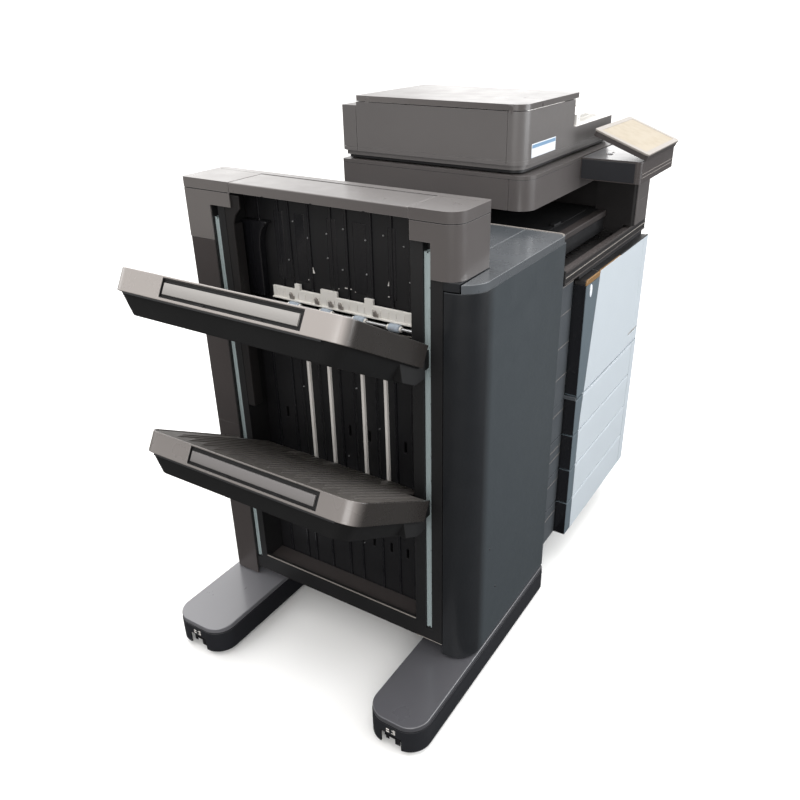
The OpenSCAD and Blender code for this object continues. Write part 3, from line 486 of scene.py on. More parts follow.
def finisher_door():
    ((x0, x1), (y0, y1), (z0, z1)) = extent("finisher_front_door")
    r = 52
    face = [(0, y1)] + arc(r, r, r, 180, 270, 14) + arc(x1 - 5, 5, 5, 270, 360, 4) + [(x1, 24)]
    back = [(x1 - 3.5, 24)] + arc(x1 - 5, 5, 1.5, 360, 270, 4) + arc(r, r, r - 3.5, 270, 180, 14) + [(3.5, y1)]
    piece("finisher_door_skin", "finisher_door", SLATE, [prism(face + back, "z", (z0, z1))],
          bevel=0.5, node="finisher_front_door")
    lid = arc(r, r, r - 2, 204, 270, 10) + [(x1 - 2, 2), (x1 - 2, 23), (300, 31), (6, 31)]
    inside = [prism(lid, "z", (z1 - 4, z1 - 1)), prism(lid, "z", (z0 + 1, z0 + 4))]
    for z in range(160, 860, 116):
        inside.append(box((56, 384), (3, 11), (z, z + 3)))
    for x in (110, 210, 310):
        inside.append(box((x, x + 3), (3, 11), (z0 + 3, z1 - 3)))
    piece("finisher_door_ribs", "finisher_door", CHARCOAL, inside, bevel=0.5)
    knuckles = [hoop("z", (386, 14), span, 7, 3.05) for span in ((84, 100), (888, 903.5))]
    knuckles += [box((380, 390), (3, 8), span) for span in ((84, 100), (888, 903.5))]
    piece("finisher_door_knuckles", "finisher_door", CHARCOAL, knuckles, bevel=0.4)
    plugs = [screw("y", (x, z), 0.3, -1, 2.2) for x, z in ((86, 332), (120, 210))]
    piece("finisher_door_plugs", "finisher_door", CHARCOAL, sum(plugs, []), bevel=0)


def finisher_covers():
    ((x0, x1), (y0, y1), (z0, z1)) = extent("finisher_top_cover")
    step = extent("upper_unit_housing")[0][1]
    rim = arc(52, 52, 52, 204, 270, 12) + arc(x1 - 16, 16, 16, 270, 360, 8) + \
        arc(x1 - 6, y1 - 6, 6, 0, 90, 4) + [(step, y1), (step, 34)]
    seams = [box((step - 1, x1 + 1), (89.0, 91.2), (z1 - 2.2, z1 + 1)),
             box((step - 1, x1 - 8), (372, 373.6), (z1 - 2.2, z1 + 1))]
    piece("finisher_top_plate", MACHINE, SLATE_TOP, [prism(rim, "z", (z0 - 0.5, z1 - 1))], seams, bevel=2.6, segments=4,
          node="finisher_top_cover", crown=z1 - 1)
    # Light strip along the top cover's rear right edge: a painted highlight.
    edge = arc(x1 - 16, 16, 14.6, 270, 360, 8) + [(x1 - 1.4, y1 - 3)]
    inner = [(x - 2.2 if x > x1 - 6 else x - 1.2, y + 2.0) for x, y in edge]
    piece("finisher_top_rim_highlight", MACHINE, BEZEL, [prism(edge + inner[::-1], "z", (z1 - 3, z1 + 0.4))], bevel=0.5)
    ((x0, x1), (y0, y1), (z0, z1)) = extent("finisher_rear_cover")
    outer = [(0, 590)] + [(x1, 590)] + arc(x1 - 6, y1 - 6, 6, 0, 90, 5) + arc(10, y1 - 10, 10, 90, 180, 6)
    hollow = [(3.5, 589)] + [(x1 - 3.5, 589), (x1 - 3.5, y1 - 3.5), (3.5, y1 - 3.5)]
    slots = [box((70 + 13 * i, 75 + 13 * i), (y1 - 5, y1 + 1), z) for i in range(9) for z in ((170, 250), (640, 720))]
    slots += [box((200, 330), (y1 - 1, y1 + 1), (z, z + 1.4)) for z in (300, 301 + 300)]
    slots += [box((-1, 0.8), (590, y1), (500, 501.4))]
    slots += [box((118, x1 + 1), (589, y1 + 1), (905, 930))]
    piece("finisher_back_shell", MACHINE, BROWN, [prism(outer, "z", (z0, z1))],
          [prism(hollow, "z", (z0 - 1, z1 + 1))] + slots, bevel=0.9, node="finisher_rear_cover")
    heads = [screw("y", (x, z), y1, 1) for x in (24, 370) for z in (110, 480, 880)]
    piece("finisher_back_screws", MACHINE, BRIGHT, sum(heads, []), bevel=0)
    # Socket for the cable to the main unit
    socket = [box((320, 372), (y1 - 4, y1 + 3), (150, 190)), box((326, 366), (y1 - 2, y1 + 5), (156, 184))]
    piece("finisher_back_socket", MACHINE, BLACK, socket, [box((331, 361), (y1, y1 + 8), (161, 179))], bevel=0.8)
    # Base under the upper unit, in the darker slate copy as painted shade.
    base = arc(52, 52, 49.5, 180, 219, 6) + [(60, 21), (116, 34.6), (116, 65), (2.5, 65)]
    base = [(x, max(y, 34.6)) for x, y in base]
    piece("upper_unit_base", MACHINE, SLATE_PAINTED_SHADE, [prism(base[-3:] + [(2.5, 52)] + [(p, 34.6) for p in (6, 12)], "z", (905.4, 921.6))], bevel=0.8)


def upper_unit():
    ((x0, x1), (y0, y1), (z0, z1)) = extent("upper_unit_housing")
    outer, inner = outline((x0, x1), (y0, y1), (32, 6, 6, 6), 12), (x0 + 3, x1 - 3)
    # Front and rear corners are covers in their own right, under one lid line
    shell = [prism(outer, "z", (z0, z1))]
    hollow = [slab(inner, (y0 + 3, y1 - 3), (z0 - 1, z1 - 3), (29, 3, 3, 3), 12),
              box((x0 - 1, 97.5), (130, 535), (1018.5, z1 + 1)),
              box((x0 - 1, 3.5), (129, 536), (z0 - 1, 1019)),
              box((x0 - 1, 3.5), (88, 131), (z0 - 1, 985)),
              box((x0 - 1, 3.5), (534, 590), (z0 - 1, 992))]
    groove = ring(outline((x0 - 1, x1 + 1), (y0 - 1, y1 + 1), (33, 7, 7, 7), 12),
                  outline((x0 + 1.6, x1 - 1.6), (y0 + 1.6, y1 - 1.6), (30.4, 4.4, 4.4, 4.4), 12), "z", (1018.4, 1020.2))
    lines = [groove, box((95.2, 96.8), (y0 + 12, 130), (z1 - 1.2, z1 + 1)),
             box((95.2, 96.8), (535, y1 - 12), (z1 - 1.2, z1 + 1))]
    piece("upper_unit_shell", MACHINE, WARM_TOP, shell, hollow + lines, bevel=2.4, segments=4,
          node="upper_unit_housing", crown=z1)
    backing = [prism(outline((x0 + 3.2, x1 - 3.2), (y0 + 3.2, 129), (29, 0, 0, 0), 10), "z", (1012, 1026)),
               box((x0 + 3.2, x1 - 3.2), (536, y1 - 3.2), (1012, 1026))]
    piece("upper_unit_backing", MACHINE, BLACK, backing, bevel=0.5)
    for part, span in (("front", (y0, 130)), ("rear", (535, y1))):
        radii = (32, 3, 3, 3) if part == "front" else (6, 6, 6, 6)
        gasket("upper_unit_gasket_" + part, MACHINE, (x0, x1), (span[0], span[1]), radii, (1018.0, 1020.6))
    ears = [box((88, 98), y, (1030, z1 - 2)) for y in ((126, 130), (535, 539))]
    ears += [drum("y", (93.5, 1037), y, 1.5, 0.2, 16) for y in ((127, 140), (525, 538))]
    piece("upper_unit_ears", MACHINE, BLACK, ears, bevel=0.3)
    # Centre cover: lid plate, front lip with small notches, stiffening ribs and a hinge barrel
    y = (131, 534)
    cuts = [box((-1, 4), (c - 3, c + 3), (1019, 1022.2)) for c in (222, 338, 452)]
    piece("upper_jam_lid", "jam_cover", WARM_TOP, [slab((0.2, 93.5), y, (1021, z1 - 0.1))],
          [box((3.4, 95), (y[0] - 1, y[1] + 1), (1018, 1037))] + cuts, bevel=2.2, segments=4, node="upper_jam_cover",
          crown=z1 - 0.1)
    under = [box((6, 86), (c, c + 2.4), (1027, 1037.4)) for c in range(170, 520, 48)]
    under += [hoop("y", (93.5, 1037), y, 3, 1.55, 20)]
    piece("upper_jam_ribs", "jam_cover", BLACK, under, bevel=0.3)


def stack_bay():
    """Black ribbed wall, cream exit plate, pale strips, clips and screw heads."""
    (wall_x, wall_y, wall_z) = extent("stack_wall")
    x0 = 60
    wall = [box((x0, 66), (131, 555), (100, wall_z[1]))]
    holes = [box((x0 - 1, 67), (140, 500), (786, 804))]
    for y in (185, 228, 274, 324, 368, 420, 495):
        for z in (250, 520):
            holes.append(slab((x0 - 1, 67), (y - 3, y + 3), (z, z + 26)))
    piece("stack_wall_panel", MACHINE, BLACK, wall, holes, bevel=0.7, node="stack_wall")
    ribs = []
    for y in (165, 205, 250, 306, 342, 395, 444, 470, 520):
        ribs.append(prism([(x0, y - 3.5), (x0 - 3, y - 2), (x0 - 3, y + 2), (x0, y + 3.5)], "z", (143, wall_z[1] - 2)))
    for y0, y1 in ((196, 214), (262, 292), (330, 352), (404, 430), (458, 482)):
        ribs.append(prism([(x0, y0), (x0 - 1.6, y0 + 2), (x0 - 1.6, y1 - 2), (x0, y1)], "z", (846, wall_z[1] - 30)))
    piece("stack_wall_ribs", MACHINE, GLOSS_BLACK, ribs, bevel=0.5)
    flange = [(557, 806), (557, 957), (551, 960), (489, 962), (487, 958), (494, 953), (501, 944), (506, 930), (509, 912), (510, 806)]
    piece("stack_wall_guide", MACHINE, GLOSS_BLACK, [prism(flange, "x", (42, 60))], bevel=2.4, segments=4)
    hook = [(556, 560), (556, 1015), (516, 1015), (516, 990), (530, 976), (536, 960), (537, 560)]
    piece("rear_post_flange", MACHINE, DARK_WARM, [prism(hook, "x", (4.5, 9)),
          prism([(537, 560), (537, 958), (541, 958), (541, 560)], "x", (8, 30))], bevel=1.2, segments=3)
    dots = [(y, 966 - (y % 3) * 14) for y in (178, 222, 262, 312, 352, 398, 432)]
    dots += [(y, 905 - (y % 4) * 9) for y in (166, 262, 318, 352, 450)]
    dots += [(y, z) for y, z in ((246, 560), (300, 640), (330, 470), (390, 360), (440, 610), (300, 250))]
    heads = sum((screw("x", (y, z), x0 - 1.4, -1, 1.7) for y, z in dots), [])
    piece("stack_wall_screws", MACHINE, BRIGHT, heads, bevel=0)
    marks = [prism([(y - 4, z), (y + 4, z), (y, z + 13)], "x", (x0 - 0.9, x0 + 0.2)) for y, z in ((212, 872), (392, 868))]
    marks += [box((x0 - 1.1, x0 + 0.2), (y, y + 16), (z, z + 1.6)) for y, z in
              ((200, 850), (276, 846), (300, 850), (404, 852), (330, 846), (220, 742), (300, 742), (400, 744))]
    piece("stack_wall_marks", MACHINE, BONE, marks, bevel=0.2)
    strips = []
    for y in (227, 283, 367, 421):
        strips.append(prism([(54.6, y - 3.2), (54, y - 2.4), (54, y + 2.4), (54.6, y + 3.2), (60, y + 4), (60, y - 4)],
                            "z", (400, 782)))
    piece("exit_strips", MACHINE, BONE, strips, bevel=0.4, node="exit_guides")
    plate = [box((50, 53), (148, 492), (806, 830)), box((46, 52), (148, 492), (806, 809)),
             box((51, 54.5), (148, 492), (826, 831))]
    plate += [slab((50, 56), (c - w, c + w), (829, 842)) for c, w in ((428, 7), (350, 20), (255, 10))]
    plate += [box((56, 60), (y - 4, y + 4), (812, 824)) for y in (176, 292, 456)]
    plate += [box((48.4, 50.2), (y, y + 1.6), (811, 825)) for y in range(156, 488, 18)]
    piece("exit_plate", MACHINE, CREAM, plate, bevel=0.6)
    clips = []
    for y in (236, 318, 342, 376, 440):
        clips.append(prism([(49, 812), (44, 815), (42, 822), (45, 825), (48, 821), (51, 814)], "y", (y, y + 5)))
        clips.append(box((47, 50.4), (y - 3, y + 8), (810, 816)))
    piece("exit_clips", MACHINE, BEZEL, clips, bevel=0.6)
    # Light strips on the cross bar's edges as a painted highlight, and the shelf behind it
    rim = [box((3.4, 5.0), (131, 555), (147.6, 149.8)), box((3.4, 4.6), (66, 130), (103.4, 104.8))]
    piece("cross_bar_highlight", MACHINE, BEZEL, rim, bevel=0.3)
    shelf = [slab((12.2, 57.5), (131, 555), (141.8, 142.8), (1, 1, 1, 1))]
    piece("bay_shelf", MACHINE, BROWN, shelf, bevel=0.4)
    low = [box((47.6, 50), (149, 491), (783.4, 785.6))]
    piece("exit_lower_lip", MACHINE, BEZEL, low, bevel=0.5)


def rollers():
    shaft = [drum("y", (40, 800), (119, 567), 3, 0.4, 24)]
    piece("exit_shaft_rod", "exit_shaft", BRIGHT, shaft, bevel=0, node="exit_rollers")
    tyres, hubs = [], []
    for y in (178, 258, 338, 418):
        tyres.append(lathe([(y, 6.6), (y + 1, 7.8), (y + 12, 8), (y + 23, 7.8), (y + 24, 6.6)], "y", (40, 800), 32))
        hubs += [hoop("y", (40, 800), (y - 4, y + 0.6), 5.4, 2.9, 24), hoop("y", (40, 800), (y + 23.4, y + 28), 5.4, 2.9, 24)]
    piece("exit_shaft_tyres", "exit_shaft", ROLLER, tyres, bevel=0)
    piece("exit_shaft_hubs", "exit_shaft", CREAM, hubs, bevel=0.3)


def rails():
    z = (136, 967)
    for name, y in (("front", 98), ("rear", 581)):
        lips = [(8, y - 7), (22, y - 7), (22, y + 7), (8, y + 7), (8, y + 1.8), (9.4, y + 1.8), (9.4, y + 5.6),
                (20.5, y + 5.6), (20.5, y - 5.6), (9.4, y - 5.6), (9.4, y - 1.8), (8, y - 1.8)]
        holes = [drum("x", (y - 4.4, c), (7, 11), 1.1, 0.1, 12) for c in range(176, 960, 56)]
        piece("lift_rail_" + name, MACHINE, ZINC, [prism(lips, "z", z)], holes, bevel=0.35,
              node="lift_rails" if name == "front" else None)
        web = [box((8.6, 9.9), (y - 1.6, y + 5.7), (z[0] + 3, z[1] - 3))]
        piece("lift_rail_web_" + name, MACHINE, ZINC, web, holes, bevel=0)
    piece("lift_rail_racks", MACHINE, BLACK,
          [box((17.4, 20.4), (y - 2.4, y + 2.4), (c, c + 3)) for y in (98, 581) for c in range(142, 960, 9)], bevel=0)


def frustum(low, high, z0, z1):
    """Closed loft between two outlines with the same number of points."""
    n = len(low)
    verts = [(x, y, z0) for x, y in low] + [(x, y, z1) for x, y in high]
    faces = [tuple(range(n)), tuple(range(2 * n - 1, n - 1, -1))]
    return verts, faces + [(i, n + i, n + (i + 1) % n, (i + 1) % n) for i in range(n)]


def stacking_tray(name, body, top, rim, insert):
    tilt = math.radians(29.5)
    place = Matrix.Translation((-250, 0, top)) @ Matrix.Rotation(tilt, 4, "Y")
    y0, y1, inner = 76, 574, -26
    run = 1 / math.cos(tilt)
    reach = (inner + 250) * run
    mid_reach = (46 + 250) * run
    band = 41

    def trimmed(shells):
        return [moved(s, place) for s in shells]

    # The band that wraps the outer end and both sides
    loop = arc(34, y1 - 34, 34, 90, 180, 12) + arc(34, y0 + 34, 34, 180, 270, 12)
    outer = [(reach - 0.5, y1)] + loop + [(reach - 0.5, y0)]
    inside = arc(34, y0 + 34, 29, 270, 180, 12) + arc(34, y1 - 34, 29, 180, 90, 12)
    inside = [(reach - 0.5, y0 + 5)] + inside + [(reach - 0.5, y1 - 5)]
    shape = prism(outer + inside, "z", (-band, 0.4))
    window = box((-1, 4.4), (153, 453), (-36.2, -3.0))
    cut = [moved(window, place), box((inner, 60), (y0 - 5, y1 + 5), (top - 260, top))]
    piece(name + "_band", body, rim, trimmed([shape]), cut, bevel=1.4, segments=3, node=name)
    liner = ring(outline((153.1, 452.9), (-36.1, -3.1)), outline((154.4, 451.6), (-34.8, -4.4)), "x", (0.5, 4.3))
    pocket = [box((4.2, 5), (152, 454), (-37, -2.4)), liner]
    pocket += [box((2.4, 4.4), y, (-35, -32.6)) for y in ((230, 250), (352, 372))]
    piece(name + "_recess", body, PITCH, trimmed(pocket), bevel=0.4)
    inset = prism([(0.6, -30.2), (0.2, -29.2), (0.2, -11.6), (0.6, -10.6), (4.4, -10.6), (4.4, -30.2)], "y", (160, 447))
    piece(name + "_inset", body, insert, trimmed([inset]), bevel=0.7)
    # Paper bed with shallow ridges that run down the slope
    bed = [slab((4, reach), (y0 + 4, y1 - 4), (-5, -1.2), (30, 0, 0, 30), 10),
           box((reach - 2, mid_reach), (133.5, 552.5), (-5, -1.2))]
    ridges = []
    for y in range(104, 552, 16):
        far = mid_reach - 3 if 140 < y < 545 else reach - 6
        near = 26 + (26 if (y // 16) % 2 else 0)
        ridges.append(prism([(near, -1.4), (near + 12, 0.9), (far - 8, 0.9), (far, -1.4)], "y", (y, y + 5)))
    for c in (198, 342, 430):
        ridges.append(prism([(mid_reach - 70, -1.4), (mid_reach - 58, 2.2), (mid_reach - 14, 2.2), (mid_reach - 4, -1.4)],
                            "y", (c - 9, c + 9)))
    limit = [box((46, 90), (70, 580), (top - 300, top)), box((inner, 60), (60, 133.5), (top - 300, top)),
             box((inner, 60), (552.5, 590), (top - 300, top))]
    piece(name + "_bed", body, TRAY_TOP, trimmed(bed), limit, bevel=0.6)
    piece(name + "_ridges", body, TRAY_TOP, trimmed(ridges), bevel=0.5)
    # Underside: housing, carrier brackets and shoes that run in the rails
    pan = [frustum(outline((28, 262), (104, 546), (26, 12, 12, 26), 8), outline((4, 262), (80, 570), (30, 4, 4, 30), 8), -76, -37),
           box((reach - 30, mid_reach - 4), (136, 550), (-40, -4))]
    piece(name + "_housing", body, PITCH, trimmed(pan), limit, bevel=1.2)
    low = top - 192
    side = [(-100, low + 22), (-60, low), (inner, low), (inner, top - 148), (-112, top - 98)]
    arms = [prism(side, "y", y) for y in ((84, 109), (541, 564))]
    arms += [box((-60, 16), (y - 1.2, y + 1.2), (low + 4, top - 152)) for y in (98, 581)]
    arms += [box((12, 16.4), (y - 4.4, y + 4.4), (low + 4, top - 152)) for y in (98, 581)]
    arms += [box((-60, inner), (560, 584), (low + 4, top - 152))]
    piece(name + "_arms", body, PITCH, arms, bevel=1.2)
    lip = [moved(box((1.5, 4.5), (112, 540), (-band - 3.5, -band + 1)), place)]
    piece(name + "_lip", body, BLACK, lip, bevel=0.8)


def feet():
    for name, node, pad in (("front", "finisher_front_foot", 62), ("rear", "finisher_rear_foot", 595)):
        ((x0, x1), (y0, y1), (z0, z1)) = extent(node)
        r = 46
        skin = slab((x0, x1), (y0, y1), (z0, z1 - 13), (r, 6, 6, r), 14)
        hollow = [slab((x0 + 4, -108), (y0 + 4, y1 - 4), (z0 - 1, z1 - 17), (r - 4, 0, 0, r - 4), 12),
                  box((-102, 292), (y0 + 4, y1 - 4), (z0 - 1, z1 - 17)),
                  box((298, 388), (y0 + 4, y1 - 4), (z0 - 1, z1 - 17)),
                  box((x0 - 1, x0 + 30), (pad - 24, pad + 24), (z0 - 1, z1 - 36))]
        piece("foot_%s_skirt" % name, MACHINE, CHARCOAL, [skin], hollow, bevel=1.4, segments=3, node=node)
        top = slab((x0 + 1, x1 - 1), (y0 + 1, y1 - 1), (z1 - 12.4, z1), (r - 1, 5, 5, r - 1), 14)
        piece("foot_%s_top" % name, MACHINE, FOOT_TOP, [top], bevel=2.2, segments=3)
        bosses = [hoop("z", (-155, pad), (58, z1 - 4), 11, 4.05, 24)]
        bosses += [hoop("z", (x, pad), (40, z1 - 4), 12, 5.05, 24) for x in (-70, 262)]
        bosses += [box((334, 356), (pad + s * 11.5 - 1.5, pad + s * 11.5 + 1.5), (12, z1 - 4)) for s in (-1, 1)]
        bosses += [drum("y", (345, 20), (pad - 12, pad + 12), 3, 0.3, 20)]
        piece("foot_%s_bosses" % name, MACHINE, CHARCOAL, bosses, bevel=0.5)
        # Levelling scale and window on the rounded end
        scale = [box((x0 - 0.5, x0 + 0.6), (pad - 11, pad - 11 + (9 if i % 3 == 0 else 5)), (z1 - 31 + 2.6 * i, z1 - 30 + 2.6 * i))
                 for i in range(5)]
        scale += [box((x0 - 0.5, x0 + 0.6), (pad + 3, pad + 10), (z1 - 31 + 6 * i, z1 - 28 + 6 * i)) for i in range(2)]
        piece("foot_%s_scale" % name, MACHINE, BONE, scale, bevel=0.2)
        plate = [box((x0 + 11, x0 + 13), (pad - 22, pad + 22), (z0 + 8, z1 - 18)),
                 box((x0 + 3.6, x0 + 5), (pad - 20, pad - 8), (z0 + 6, z1 - 34)), box((x0 + 3.6, x0 + 5), (pad + 6, pad + 14), (z0 + 12, z1 - 34))]
        piece("foot_%s_plate" % name, MACHINE, GLOSS_BLACK, plate, bevel=0.5)


def wheels():
    small = (("wheel_front_left", "wheel_fl", -141, 62), ("wheel_rear_left", "wheel_rl", -141, 595),
             ("wheel_front_right", "wheel_fr", 345, 62), ("wheel_rear_right", "wheel_rr", 345, 595))
    large = (("main_wheel_front_left", "main_wheel_fl", 488, 95), ("main_wheel_front_right", "main_wheel_fr", 923, 95),
             ("main_wheel_rear_left", "main_wheel_rl", 470, 560), ("main_wheel_rear_right", "main_wheel_rr", 905, 560))
    for rows, half, bore in ((small, 8, 3.05), (large, 11, 4.05)):
        for node, body, x, y in rows:
            (ex, ey, ez) = extent(node)
            r, z = (ex[1] - ex[0]) / 2, (ez[0] + ez[1]) / 2
            tread = [(y - half, r - 3), (y - half + 1.5, r - 0.6), (y - half + 4, r), (y + half - 4, r),
                     (y + half - 1.5, r - 0.6), (y + half, r - 3)]
            core = [(y + half, r - 6.5), (y - half, r - 6.5)]
            verts, faces, n = [], [], 40
            loop = tread + core
            for t, q in loop:
                verts += [lift("y", (x + q * math.cos(2 * math.pi * i / n), z + q * math.sin(2 * math.pi * i / n)), t)
                          for i in range(n)]
            for k in range(len(loop)):
                a, b = k * n, ((k + 1) % len(loop)) * n
                faces += [(a + i, a + (i + 1) % n, b + (i + 1) % n, b + i) for i in range(n)]
            piece(node + "_tyre", body, RUBBER, [(verts, faces)], bevel=0, node=node)
            hub = [hoop("y", (x, z), (y - half + 1, y + half - 1), r - 6.4, r - 9, 40),
                   hoop("y", (x, z), (y - half + 0.6, y + half - 0.6), bore + 4, bore, 24),
                   hoop("y", (x, z), (y - 1.2, y + 1.2), r - 8, bore + 2, 32)]
            for k in range(6):
                spoke = box((bore + 3, r - 8), (y - half + 2, y + half - 2), (-1.0, 1.0))
                turn = Matrix.Translation((x, 0, z)) @ Matrix.Rotation(math.radians(60 * k), 4, "Y")
                hub.append(moved(spoke, turn))
            piece(node + "_hub", body, CHARCOAL, hub, bevel=0.3)


def stapler():
    """Stapling head with its magazine, jaw and rod bushes."""
    ((x0, x1), (y0, y1), (z0, z1)) = extent("stapler")
    head = [slab((x0 + 28, x1), (y0, y1), (z0, z1 - 14), (5, 5, 5, 5)),
            prism([(x0 + 30, z1 - 16), (x1 - 4, z1 - 16), (x1 - 14, z1), (x0 + 44, z1)], "y", (y0 + 8, y1 - 8)),
            prism([(x0, z0 + 22), (x0 + 30, z0 + 16), (x0 + 30, z1 - 22), (x0, z1 - 30)], "y", (y0 + 14, y1 - 14))]
    holes = [drum("y", (x, 780), (y0 - 2, y1 + 2), 5.05, 0.1, 32) for x in (200, 250)]
    piece("stapler_head", "stapling_head", BLACK, head, holes, bevel=1.2, node="stapler")
    bushes = [hoop("y", (x, 780), span, 8, 5.05, 32) for x in (200, 250) for span in ((y0 - 1, y0 + 4), (y1 - 4, y1 + 1))]
    piece("stapler_bushes", "stapling_head", CREAM, bushes, bevel=0.4)


finisher_door()
finisher_covers()
upper_unit()
stack_bay()
rollers()
rails()
stacking_tray("upper_tray", "tray_upper", 940, BAND, INSET)
stacking_tray("lower_tray", "tray_lower", 618, LOW_BAND_PAINTED_SHADE, LOW_INSET_PAINTED_SHADE)
feet()
wheels()
stapler()
keep("finisher_frame", FRAME_BLACK, 0.8)
for fork in ("fork_front_left", "fork_rear_left", "main_fork_left", "main_fork_right"):
    keep(fork, ZINC, 0.5)
keep("levelling_feet", CHARCOAL, 1.0)


# ---------------------------------------------------------------- main unit

def pale_edge(z):
    """Left limit of the pale panels: upright on the lower drawers, leaning right on the door."""
    return 549 + max(0.0, z - 415) * 51 / 374


def front_skin(z0, z1, right, gap=0.6):
    """Pale face and its slate strip, as two open-backed shells side by side."""
    knots = [z0] + [z for z in (415,) if z0 < z < z1] + [z1]
    left = [(pale_edge(z) + gap, z) for z in knots]
    pale = left + [(right, z1), (right, z0)]
    strip = [(513, z0), (513, z1)] + [(pale_edge(z) - gap, z) for z in knots[::-1]]
    return pale, strip


def main_drawers():
    for i in range(4):
        name, body = "drawer_%d" % (i + 1), "paper_%d" % (i + 1)
        ((x0, x1), (y0, y1), (z0, z1)) = extent(name)
        pale, strip = front_skin(z0 + 0.4, z1 - 0.4, x1)
        back = [box((516.5, x1 - 3.5), (y0 + 3.5, 23), (z0 + 4, z1 - 4)), box((660, 800), (y0 + 5, 24), (z1 - 14, z1 + 1))]
        lines = [box((500, x1 + 1), (y0 - 1, y0 + 0.7), (z1 - 5.2, z1 - 4.0))]
        piece(name + "_front", body, PALE, [prism(pale, "y", (y0, 21.6))], back + lines, bevel=1.1, segments=3,
              node=name)
        piece(name + "_strip", body, STRIP, [prism(strip, "y", (y0 + 0.3, 21.6))], back[:1], bevel=1.0)
        groove = [box((411, 512.6), (21, 23), (z1 - 27 - k, z1 - 25.8 - k)) for k in ((0, 26) if i == 1 else (0,))]
        piece(name + "_column", body, COLUMN, [box((412, 512.4), (22, 28), (z0 + 0.4, z1 - 0.4))], groove, bevel=0.9)
        glint = [box((413, 512), (21.7, 22.6), (z1 - 26.6 - k, z1 - 26.0 - k)) for k in ((0, 26) if i == 1 else (0,))]
        piece(name + "_glint", body, BEZEL, glint, bevel=0.1)
        # Black faces in the gap left of the drawer front: painted shade.
        side = [box((512.2, 513.6), (y0 + 1.6, 21), (z0 + 1, z1 - 1)),
                box((511.4, 513), (-2, 5), (z1 - 42, z1 - 34)), box((511, 513), (10, 16), (z0 + 30, z0 + 58))]
        piece(name + "_side", body, GLOSS_BLACK, side, bevel=0.5)
        b0, b1 = z0 + 4, z1 - 22
        tub = [box((440, 925), (27, 470), (b0, b1)), box((513, x1), (22.2, 28), (z0, z1 - 0.4))]
        well = [box((443, 922), (30.5, 467), (b0 + 3, b1 + 1)), box((600, 800), (466, 471), (b0 + 30, b1 + 1)),
                box((660, 800), (21, 27), (z1 - 14, z1 + 1))]
        piece(name + "_tub", body, BLACK, tub, well, bevel=0.8)
        inner = [box((490, 494), (82, 380), (b0 + 3, b1 - 4)), box((700, 760), (396, 400), (b0 + 3, b1 - 4)),
                 slab((500, 690), (90, 380), (b0 + 3.2, b0 + 5.4), (14, 14, 14, 14)),
                 slab((700, 915), (90, 380), (b0 + 3.2, b0 + 5.4), (14, 14, 14, 14))]
        inner += [box((486, 490), (y, y + 3), (b0 + 3, b1 - 12)) for y in range(96, 376, 40)]
        piece(name + "_fences", body, CHARCOAL, inner, bevel=0.6)
        runners = [box((436, 440), (40, 460), (b0 + 24, b0 + 36)), box((925, 929), (40, 460), (b0 + 24, b0 + 36))]
        piece(name + "_runners", body, FRAME_STEEL, runners, bevel=0.8)


